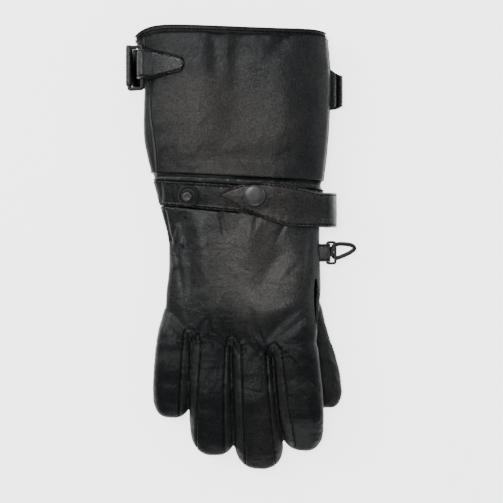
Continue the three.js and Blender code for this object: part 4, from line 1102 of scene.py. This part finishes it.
LOOP_ROWS = table("out low high",
    (0.0, 0.6, 0.62), (0.5, 0.57, 0.45), (0.85, 0.5, 0.32), (1.0, 0.36, 0.22))


def cuff_strap():
    bulge = sleeve_section(np.array(BULGE_LINE))
    right_x, seam_z = float(bulge["right"]), CUFF_FLOOR + 0.5 * float(bulge["tall"])
    nose_x, thick, round_ = right_x + CUFF_STRAP_BULGE, CUFF_STRAP_THICKNESS, 1.5 * LOOP_RADIUS
    route = [
        (right_x + 2 * SEAM_GAP, 0.42 * seam_z), (mix(right_x, nose_x, 0.5), 0.4 * seam_z),
        (nose_x - 2.2 * thick, 0.66 * seam_z), (nose_x - 1.5 * thick, 0.86 * seam_z),
        (nose_x - thick, 0.6 * seam_z), (nose_x - 1.6 * thick, 0.22 * seam_z),
        (right_x - 0.2 * thick, 1.02 * thick), (right_x - 4 * thick, thick),
        *[(x, thick) for x in np.linspace(0.8 * right_x, 0.86 * RING_LEFT, 5)],
        (mix(RING_LEFT, FAR_BAR[0], 0.3), 1.35 * thick),
        (FAR_BAR[0] - round_ + 0.9 * thick, 0.45 * FAR_BAR[1]),
        *arc(FAR_BAR, round_, 180, 0, 8), (FAR_BAR[0] + round_, 0.62 * FAR_BAR[1]),
    ]
    x, z = smooth_path(route, 260).T
    across = (x - FAR_BAR[0]) / (nose_x - FAR_BAR[0])
    y = mix(RING_LINE, BULGE_LINE, smooth(0.05, 0.95, across))
    out = np.clip((x - right_x) / (nose_x - right_x), 0, 1)
    on_loop, row = smooth(0.0, 0.06, out), read_table(LOOP_ROWS, "out", out)
    high = mix(0.5, row["high"], on_loop) + 0.165 * smooth(0.12, 0.0, across)
    low = mix(0.5, row["low"], on_loop)
    near = np.array([places(x, y + mix(-low, high, share) * CUFF_STRAP_WIDTH, z)
                     for share in np.linspace(0, 1, 26)])
    return ribbon("cuff_strap", near[::-1], thick, groove=1.8)


# Stitches

def capsule(radius, length, sides=6):
    rows = np.array([(-0.5, 0.35), (-0.42, 0.8), (-0.2, 1.0), (0.2, 1.0), (0.42, 0.8), (0.5, 0.35)])
    along, wide = rows[:, :1] * length, radius * rows[:, 1:]
    return loft_mesh(places(along, wide * np.cos(circle(sides)), wide * np.sin(circle(sides))))


def stitches(name, lines, material_slot):
    """A row of thread capsules on each line of points, lying along it."""
    form, faces = capsule(STITCH_RADIUS, STITCH_LENGTH)
    points, all_faces = [], []
    for line, ups in lines:
        walk = walked(line)
        for at in np.arange(STITCH_PITCH / 2, walk[-1] - STITCH_LENGTH / 2, STITCH_PITCH):
            run = unit(on_line(min(at + 0.6, walk[-1]), walk, line) - on_line(max(at - 0.6, 0), walk, line))
            side = unit(np.cross(on_line(at, walk, ups), run))
            all_faces += [tuple(i + len(form) * len(points) for i in face) for face in faces]
            points.append(on_line(at, walk, line) + form @ np.array([run, side, np.cross(run, side)]))
    dress(make_object("stitches_" + name, np.concatenate(points), all_faces), THREAD, material_slot)


def grid_normals(grid):
    return unit(np.cross(np.gradient(grid, axis=1), np.gradient(grid, axis=0)))


def edge_lines(far, edge, inset, first, last):
    """Lines that follow both long edges of a ribbon's grid at a distance in."""
    normal = grid_normals(far)
    lines = []
    half = far.shape[0] // 2
    for rows in (np.arange(half), np.arange(far.shape[0] - 1, half - 1, -1)):
        at = [(rows[np.argmax(edge[rows, c] >= inset)], c)
              for c in range(first, last) if edge[rows, c].max() >= inset]
        if len(at) > 2:
            r, c = np.array(at).T
            lines.append((far[r, c] - normal[r, c] * 0.02, normal[r, c]))
    return lines


def sleeve_stitch_line(y, lift, count=300):
    turns = np.linspace(0, 1, count)
    line = sleeve_point(np.full(count, y), turns, -lift)
    return line, unit(sleeve_point(np.full(count, y), turns, -lift - 1) - line)


# Metal and moulded fittings

def seat(x, y, radius, height):
    slope_x = (height(x + radius, y) - height(x - radius, y)) / (2 * radius)
    slope_y = (height(x, y + radius) - height(x, y - radius)) / (2 * radius)
    normal = Vector((-float(slope_x), -float(slope_y), 1)).normalized()
    high = -1e9
    for ring in (0, 0.5, 1):
        for angle in np.linspace(0, 2 * math.pi, 13):
            dx, dy = ring * radius * math.cos(angle), ring * radius * math.sin(angle)
            high = max(high, float(height(x + dx, y + dy) - slope_x * dx - slope_y * dy))
    return Vector((x, y, high + SEAM_GAP / normal.z)), normal


def turned(name, profile, place, normal, sides=96):
    """A round fitting from a closed profile of radius and height, seated on a surface."""
    profile = np.array(profile, float)
    radius, height = profile[1:-1, :1], profile[1:-1, 1:]
    points, faces = loft_mesh(places(radius * np.cos(circle(sides)), radius * np.sin(circle(sides)), height))
    points[-2, 2], points[-1, 2] = profile[0, 1], profile[-1, 1]
    turn = Vector((0, 0, 1)).rotation_difference(normal)
    return make_object(name, np.array([turn @ Vector(p) + place for p in points]), faces, angle=30)


def rounded_profile(corners, radius=0.25, steps=5):
    """Softens the corners of a profile with short curves."""
    soft = [corners[0]]
    for before, corner, after in zip(corners, corners[1:], corners[2:]):
        c = np.array(corner, float)
        back, on = np.array(before, float) - c, np.array(after, float) - c
        r = min(radius, 0.45 * np.linalg.norm(back), 0.45 * np.linalg.norm(on))
        start, end = c + unit(back) * r, c + unit(on) * r
        soft += [tuple((1 - t) ** 2 * start + 2 * t * (1 - t) * c + t**2 * end)
                 for t in np.linspace(0, 1, steps)]
    return soft + [corners[-1]]


def snap_cap():
    r, h = SNAP_DIAMETER / 2, SNAP_HEIGHT
    seated = seat(*CAP_PLACE, r, lambda x, y: strap_under(x, y) + STRAP_THICKNESS)
    edge = rounded_profile([(0, 0), (0.9 * r, 0), (r, 0.2 * h), (r, 0.5 * h)])[:-1]
    dome = [(r * math.cos(a) ** 0.55, h * (0.5 + 0.5 * math.sin(a) ** 0.8))
            for a in np.linspace(0, math.pi / 2, 22)[:-1]]
    return turned("snap_cap", edge + dome + [(0, h)], *seated)


def snap_stud():
    r, post = SNAP_DIAMETER / 2, STUD_POST_DIAMETER / 2
    tall = STUD_POST_HEIGHT
    base = 0.32 * tall
    top = base + tall
    seated = seat(*STUD_PLACE, r, lambda x, y: top_height(x, y, BAND_PROUD))
    plate = rounded_profile([
        (0, 0), (r, 0), (r, 0.6 * base), (0.93 * r, base), (0.84 * r, 0.95 * base), (0.78 * r, 0.6 * base),
        (0.68 * r, 0.62 * base), (0.62 * r, base), (0.5 * post, base), (0, base)], radius=0.2)
    column = rounded_profile([
        (0, base), (post, base), (0.84 * post, base + 0.35 * tall), (post, base + 0.7 * tall),
        (post, top - 0.12 * tall), (0.85 * post, top), (0.6 * post, top), (0.5 * post, top - 0.25),
        (0, top - 0.3)], radius=0.2)
    return turned("snap_stud", plate, *seated), turned("snap_stud_post", column, *seated)


def swept_ring(name, path, radius, squash=1.0, sides=14):
    """A closed loop of bar along a closed path of points."""
    count = len(path)
    plane = unit(np.cross(path[count // 3] - path[0], path[2 * count // 3] - path[0]))
    side = np.cross(unit(np.roll(path, -1, 0) - np.roll(path, 1, 0)), plane)
    c, s = signed_power(np.cos(circle(sides)), 0.6), signed_power(np.sin(circle(sides)), 0.6)
    rings = path[:, None] + radius * (side[:, None] * c[None, :, None]
                                      + squash * plane[None, None] * s[None, :, None])
    index = np.arange(count * sides).reshape(count, sides)
    corners = [np.roll(index, shift, (0, 1)).ravel() for shift in ((0, 0), (0, -1), (-1, -1), (-1, 0))]
    points = rings.reshape(-1, 3)
    return make_object(name, points, facing_out(points, np.stack(corners, 1).tolist()), angle=50)


def rounded_rectangle(width, height, corner, steps=9):
    points = []
    for cx, cy, start in ((1, 1, 0), (-1, 1, 90), (-1, -1, 180), (1, -1, 270)):
        for angle in np.radians(np.linspace(start, start + 90, steps)):
            points.append((cx * (width / 2 - corner) + corner * math.cos(angle),
                           cy * (height / 2 - corner) + corner * math.sin(angle)))
    return np.array(points)


def cuff_ring():
    plan = rounded_rectangle(RING_REACH, RING_HELD_WIDTH + RING_BAR, 0.6 * RING_BAR)
    middle = (np.array(NEAR_BAR) + np.array(FAR_BAR)) / 2
    path = places(middle[0] + plan[:, 0] * math.cos(RING_TILT), RING_LINE + plan[:, 1],
                  middle[1] + plan[:, 0] * math.sin(RING_TILT))
    return swept_ring("cuff_ring", path, BAR_HALF)


def clip_tab():
    round_ = CLIP_LOOP * math.sqrt(2)
    start = CLIP_EDGE - 2.4
    halfway = mix(start, CLIP_NEAR[0], 0.5)
    route = [(start, CLIP_Z + round_), (halfway, CLIP_Z + round_), *arc(CLIP_NEAR, round_, 90, -90, 9),
             (halfway, CLIP_Z - round_), (start, CLIP_Z - round_)]
    x, z = smooth_path(route, 90).T
    near = np.array([places(x, CLIP_LINE + share * CLIP_TAB_WIDTH, z)
                     for share in np.linspace(-0.5, 0.5, 20)])
    return ribbon("clip_tab", near, CLIP_TAB_THICKNESS, groove=1.3)


def clip_ring():
    length = CLIP_TAB_WIDTH + 2 * SEAM_GAP + CLIP_RING_BAR
    plan = rounded_rectangle(CLIP_FAR[0] - CLIP_NEAR[0], length, CLIP_RING_BAR * 0.9)
    path = places((CLIP_NEAR[0] + CLIP_FAR[0]) / 2 + plan[:, 0], CLIP_LINE + plan[:, 1], CLIP_Z)
    return swept_ring("clip_ring", path, 0.62 * CLIP_RING_BAR)


# The middle of the hook's bar: places on the glove and the rise over the clip's middle
HOOK_ROWS = table("x y rise",
    (69.0, -32.6, -2.5), (66.3, -30.9, -2.2), (65.6, -27.4, 0.0), (66.5, -24.0, 2.2), (69.6, -22.4, 2.5),
    (74.2, -22.3, 1.2), (79.8, -23.2, 0.5), (82.0, -25.3, 0.0), (79.4, -27.9, -0.4), (74.9, -30.3, -1.2),
    (69.0, -32.6, -2.5))
HOOK_BAR = 2.7
HOOK_SQUASH = 1.15


def clip_hook():
    path = smooth_path([(row["x"], row["y"], CLIP_Z + row["rise"]) for row in HOOK_ROWS], 121)[:-1]
    return swept_ring("clip_hook_bar", path, HOOK_BAR / 2, squash=HOOK_SQUASH)


# Materials

class Nodes:
    """Short names for building a material's nodes. An input is a value or another node's output."""

    def __init__(self, name):
        self.material = bpy.data.materials.new(name)
        self.material.use_nodes = True
        self.tree = self.material.node_tree
        self.shader = self.tree.nodes["Principled BSDF"]
        self.place = self.add("TexCoord", {}).outputs["Object"]

    def feed(self, node, inputs):
        for key, value in inputs.items():
            if isinstance(value, bpy.types.NodeSocket):
                self.tree.links.new(value, node.inputs[key])
            else:
                node.inputs[key].default_value = value
        return node

    def add(self, kind, inputs, **settings):
        node = self.tree.nodes.new("ShaderNode" + kind)
        for key, value in settings.items():
            setattr(node, key, value)
        return self.feed(node, inputs)

    def finish(self, **inputs):
        """Feeds the shader, its inputs named with a low line for each space."""
        self.feed(self.shader, {key.replace("_", " "): value for key, value in inputs.items()})
        return self.material

    def noise(self, scale, detail=4.0, rough=0.55, distortion=0.0):
        return self.add("TexNoise", {"Scale": scale, "Detail": detail, "Roughness": rough,
                                     "Distortion": distortion, "Vector": self.place}).outputs["Fac"]

    def ramp(self, source, *stops):
        node = self.add("ValToRGB", {"Fac": source})
        for element, (at, colour) in zip(node.color_ramp.elements, stops):
            element.position = at
            element.color = (*colour, 1)
        return node.outputs["Color"]

    def vector(self, operation, first, second, key=1, output="Vector"):
        return self.add("VectorMath", {0: first, key: second}, operation=operation).outputs[output]

    # The oval marks where a leather is painted paler and warmer as sheen in the middle of a panel.
    def painted_sheen_oval(self, x, y, wide, long, noise):
        """1 in the middle of an oval in plan and 0 past it, with an uneven edge made by noise."""
        off = self.vector("SUBTRACT", self.place, (x, y, 0))
        squeezed = self.vector("MULTIPLY", off, (1 / wide, 1 / long, 0))
        away = self.vector("LENGTH", squeezed, (0, 0, 0), output="Value")
        return self.add("Math", {0: self.spread(away, 1.0, 0.0, 0.3, 1.15), 1: self.spread(noise, -0.4, 0.4)},
                        operation="ADD", use_clamp=True).outputs["Value"]

    def along(self, low, high):
        """0 to 1 between two places along the glove."""
        return self.spread(self.add("SeparateXYZ", {"Vector": self.place}).outputs["Y"], 0.0, 1.0, low, high)

    def spread(self, source, low, high, from_low=0.3, from_high=0.7):
        return self.add("MapRange", {"From Min": from_low, "From Max": from_high, "To Min": low,
                                     "To Max": high, "Value": source}).outputs["Result"]

    def bump(self, source, strength, distance, before=None):
        inputs = {"Strength": strength, "Distance": distance, "Height": source}
        if before is not None:
            inputs["Normal"] = before
        return self.add("Bump", inputs).outputs["Normal"]


def leather(name, dark, light, rough, gloss, wrinkle=1.0, painted_sheen=(0, 13, 60, 60), fade=(-400, -300)):
    """Grained black leather: a pebble grain with light specks painted in as glints, soft wrinkles, and a
    painted sheen: a paler, warmer middle, with cool reflections away from it. The argument after
    wrinkle gives the x and y of that sheen and its half width and length, and fade the places along
    the glove where it turns from dull and dark to full, in millimetres."""
    m = Nodes(name)
    full = m.along((fade[0] + SHIFT.y) * MM, (fade[1] + SHIFT.y) * MM)
    x, y, wide, long = painted_sheen
    # tone is 1 inside the painted sheen oval and 0 outside it.
    tone = m.painted_sheen_oval((x + SHIFT.x) * MM, (y + SHIFT.y) * MM, wide * MM, long * MM, m.noise(24, 5, 0.6, 0.5))
    # Flecks scale the colour and the shine: painted glints of the grain.
    painted_grain_glints = m.spread(m.noise(850, 4, 0.75), 0.35, 1.75)
    shine = m.add("Math", {0: m.spread(full, 0.38 * gloss, gloss, 0.0, 1.0),
                           1: m.spread(painted_grain_glints, 0.75, 1.25, 0.35, 1.75)}, operation="MULTIPLY")
    pebble = m.add("TexVoronoi", {"Scale": 950, "Vector": m.place}).outputs["Distance"]
    normal = m.bump(m.noise(26, 3, 0.5, 0.8), 0.5 * wrinkle, 0.003)
    normal = m.bump(m.noise(60, 4, 0.5, 0.6), 0.45 * wrinkle, 0.0012, normal)
    normal = m.bump(m.noise(260, 6, 0.65, 1.2), 0.3 * wrinkle, 0.0005, normal)
    normal = m.bump(m.noise(1000, 5, 0.75, 0.4), 0.42, 0.0004, normal)
    # The colour runs from dark to the paler painted sheen, and the reflections turn from a cool painted shade
    # tint to a warm painted sheen tint.
    return m.finish(
        Base_Color=m.vector("SCALE", m.ramp(tone, (0.1, dark), (0.9, light)), painted_grain_glints, key="Scale"),
        Specular_Tint=m.ramp(tone, (0.1, PAINTED_SHADE_TINT), (0.9, PAINTED_SHEEN_TINT)), Specular_IOR_Level=shine.outputs["Value"],
        Roughness=m.spread(m.noise(420, 5), rough - 0.1, rough + 0.1),
        Normal=m.bump(pebble, 0.28, 0.00025, normal))


def metal(name, colour, rough, scratch):
    """Plated metal with fine scratches and a cloudy tone."""
    m = Nodes(name)
    dark = tuple(0.6 * c for c in colour)
    return m.finish(Base_Color=m.ramp(m.noise(420, 5, 0.6), (0.3, dark), (0.7, colour)), Metallic=1.0,
                    Roughness=m.spread(m.noise(900, 6, 0.7), rough - 0.08, rough + 0.12),
                    Normal=m.bump(m.noise(2600, 3, 0.6, 2.0), scratch, 0.00005))


def moulded(name, colour, rough):
    """Moulded black plastic with a fine spark texture."""
    m = Nodes(name)
    light = tuple(1.8 * c for c in colour)
    return m.finish(Base_Color=m.ramp(m.noise(300, 3), (0.35, colour), (0.7, light)), Specular_IOR_Level=0.2,
                    Roughness=m.spread(m.noise(700, 4), rough - 0.06, rough + 0.08),
                    Normal=m.bump(m.noise(1800, 3), 0.2, 0.00008))


def thread(name, colour):
    """Twisted sewing thread."""
    m = Nodes(name)
    light = tuple(1.6 * c for c in colour)
    return m.finish(Base_Color=m.ramp(m.noise(900, 3), (0.3, colour), (0.7, light)), Specular_IOR_Level=0.08,
                    Roughness=m.spread(m.noise(1500, 3), 0.7, 0.9),
                    Normal=m.bump(m.noise(3000, 2), 0.4, 0.0001))


def dress(piece, material, slot, *replaced):
    piece.data.materials.clear()
    piece.data.materials.append(material)
    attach(piece, "root")
    if replaced:
        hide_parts(*replaced)


# Stage, light and camera

FIELD = 0.3622
CAMERA_LENS = 105.0
FLOOR_HALF = 3.0
SENSOR_WIDTH = 36.0
CAMERA_REACH = (0.05, 20)
GLOVE_MIDDLE_HEIGHT = 0.015
FLOOR_DROP = 0.0002

# The photo's scale, its middle and the place in it of the glove's own zero, in pixels
MM_PER_PIXEL = 0.72
PHOTO_HALF = 251.5
PHOTO_ZERO = (241.0, 213.0)
PHOTO_MIDDLE = ((PHOTO_HALF - PHOTO_ZERO[0]) * MM_PER_PIXEL, (PHOTO_ZERO[1] - PHOTO_HALF) * MM_PER_PIXEL)


def stage():
    m = Nodes("paper")
    paper = m.finish(Base_Color=m.ramp(m.noise(3, 2), (0.4, (0.93,) * 3), (0.6, (0.95,) * 3)), Roughness=0.9,
                     Specular_IOR_Level=0.1, Emission_Color=(1, 1, 1, 1), Emission_Strength=2.4)
    mesh = bpy.data.meshes.new("floor")
    s = FLOOR_HALF
    mesh.from_pydata([(-s, -s, 0), (s, -s, 0), (s, s, 0), (-s, s, 0)], [], [(0, 1, 2, 3)])
    mesh.materials.append(paper)
    floor = in_scene("floor", mesh)
    floor.location.z = -FLOOR_DROP


def area_light(name, place, target, size, power, colour=(1, 1, 1)):
    light = bpy.data.lights.new(name, "AREA")
    light.shape = "RECTANGLE"
    light.size, light.size_y = size
    light.energy, light.color = power, colour
    lamp = in_scene(name, light)
    lamp.location = place
    lamp.rotation_euler = (Vector(target) - Vector(place)).to_track_quat("-Z", "Y").to_euler()


def light_and_camera():
    warm, cool = (1.0, 0.99, 0.975), (0.95, 0.975, 1.0)
    area_light("over", (-0.3, 0.25, 1.5), (-0.02, 0.0, 0), (0.5, 0.5), 14.5, warm)
    area_light("key", (-1.25, 0.75, 0.95), (0, 0.02, 0), (0.9, 0.6), 22, warm)
    area_light("fill", (1.35, 0.3, 0.75), (0, 0, 0), (1.0, 0.9), 9, cool)
    area_light("foot", (0.1, -1.45, 0.7), (0, -0.05, 0), (1.2, 0.7), 11)
    area_light("head", (0.0, 1.5, 0.7), (0, 0.05, 0), (1.2, 0.7), 9)
    world = bpy.data.worlds.new("studio")
    world.use_nodes = True
    background = world.node_tree.nodes["Background"].inputs
    background["Color"].default_value, background["Strength"].default_value = (1, 1, 1, 1), 0.34
    bpy.context.scene.world = world
    data = bpy.data.cameras.new("camera")
    data.lens, data.sensor_width = CAMERA_LENS, SENSOR_WIDTH
    data.clip_start, data.clip_end = CAMERA_REACH
    camera = in_scene("camera", data)
    height = FIELD / 2 / (data.sensor_width / 2 / data.lens)
    camera.location = (PHOTO_MIDDLE[0] * MM + SHIFT.x * MM, PHOTO_MIDDLE[1] * MM + SHIFT.y * MM,
                       height + GLOVE_MIDDLE_HEIGHT)
    bpy.context.scene.camera = camera


# The whole glove

light_and_camera()
stage()

# Reflection tints: cool for painted shade away from the middle, warm for the painted sheen in it.
PAINTED_SHADE_TINT, PAINTED_SHEEN_TINT = (0.95, 0.98, 1.0), (1.0, 0.98, 0.95)
# The second colour of each leather is the paler colour of its painted sheen.
LEATHER = leather("leather_back", (0.0042, 0.0046, 0.0049), (0.0165, 0.0159, 0.015), 0.34, 0.25,
                  painted_sheen=(4, -32, 42, 48), fade=(-96, -60))
LEATHER_CUFF = leather("leather_cuff", (0.005, 0.0054, 0.0058), (0.0135, 0.0129, 0.0121), 0.37, 0.19,
                       wrinkle=0.8, painted_sheen=(-12, 66, 54, 50))
LEATHER_SOFT = leather("leather_soft", (0.0028, 0.003, 0.0031), (0.006, 0.006, 0.0059), 0.46, 0.2,
                       wrinkle=1.4)
LEATHER_STRAP = leather("leather_strap", (0.0045, 0.0047, 0.005), (0.0105, 0.0102, 0.0098), 0.33, 0.33,
                        wrinkle=0.7)
GUNMETAL = metal("gunmetal", (0.075, 0.075, 0.077), 0.4, 0.06)
POST_METAL = metal("post_metal", (0.07, 0.07, 0.072), 0.4, 0.06)
BLACK_METAL = metal("black_metal", (0.03, 0.03, 0.032), 0.36, 0.15)
PAINTED = moulded("painted_black", (0.005, 0.005, 0.0052), 0.4)
MOULDED = moulded("moulded_black", (0.006, 0.006, 0.0065), 0.36)
THREAD = thread("thread_black", (0.0012, 0.0012, 0.0013))

for piece_name, piece in cuff_pieces().items():
    dress(piece, LEATHER_CUFF, "leather", piece_name)
dress(cuff_binding(), LEATHER_CUFF, "leather", "cuff_binding")
dress(wrist_gather(), LEATHER, "leather", "wrist_gather")
dress(wrist_band(), LEATHER, "leather", "wrist_band")
for piece_name, piece in hand_pieces().items():
    soft = piece_name.startswith("fourchette")
    dress(piece, LEATHER_SOFT if soft else LEATHER, "soft_leather" if soft else "leather", piece_name)
dress(thumb_piece(), LEATHER_SOFT, "soft_leather", "thumb")

straps = {"wrist_strap": wrist_strap(), "cuff_tab": cuff_tab(), "cuff_strap": cuff_strap(),
          "clip_tab": clip_tab()}
for piece_name, (piece, _, _) in straps.items():
    dress(piece, LEATHER_STRAP, "strap_leather", piece_name)
dress(snap_cap(), GUNMETAL, "snap_metal", "snap_cap")
stud_plate, stud_post = snap_stud()
dress(stud_plate, PAINTED, "dark_metal", "snap_stud")
dress(stud_post, POST_METAL, "dark_metal")
dress(cuff_ring(), PAINTED, "dark_metal", "cuff_ring")
dress(clip_ring(), BLACK_METAL, "dark_metal", "clip_ring")
dress(clip_hook(), MOULDED, "moulded", "clip_hook")

strap_columns = straps["wrist_strap"][1].shape[1]
stitches("wrist_strap", edge_lines(*straps["wrist_strap"][1:], 1.6, 6, strap_columns - 4), "strap_leather")
stitches("cuff_tab", edge_lines(*straps["cuff_tab"][1:], 1.5, 4, 62), "strap_leather")
stitches("hem", [sleeve_stitch_line(HEM_LINE - BINDING_WIDTH * 0.58, 0.15)], "leather")
stitches("wrist_band", [sleeve_stitch_line(BAND_LENGTH * share, BAND_PROUD - 0.1) for share in (0.1, 0.9)],
         "leather")
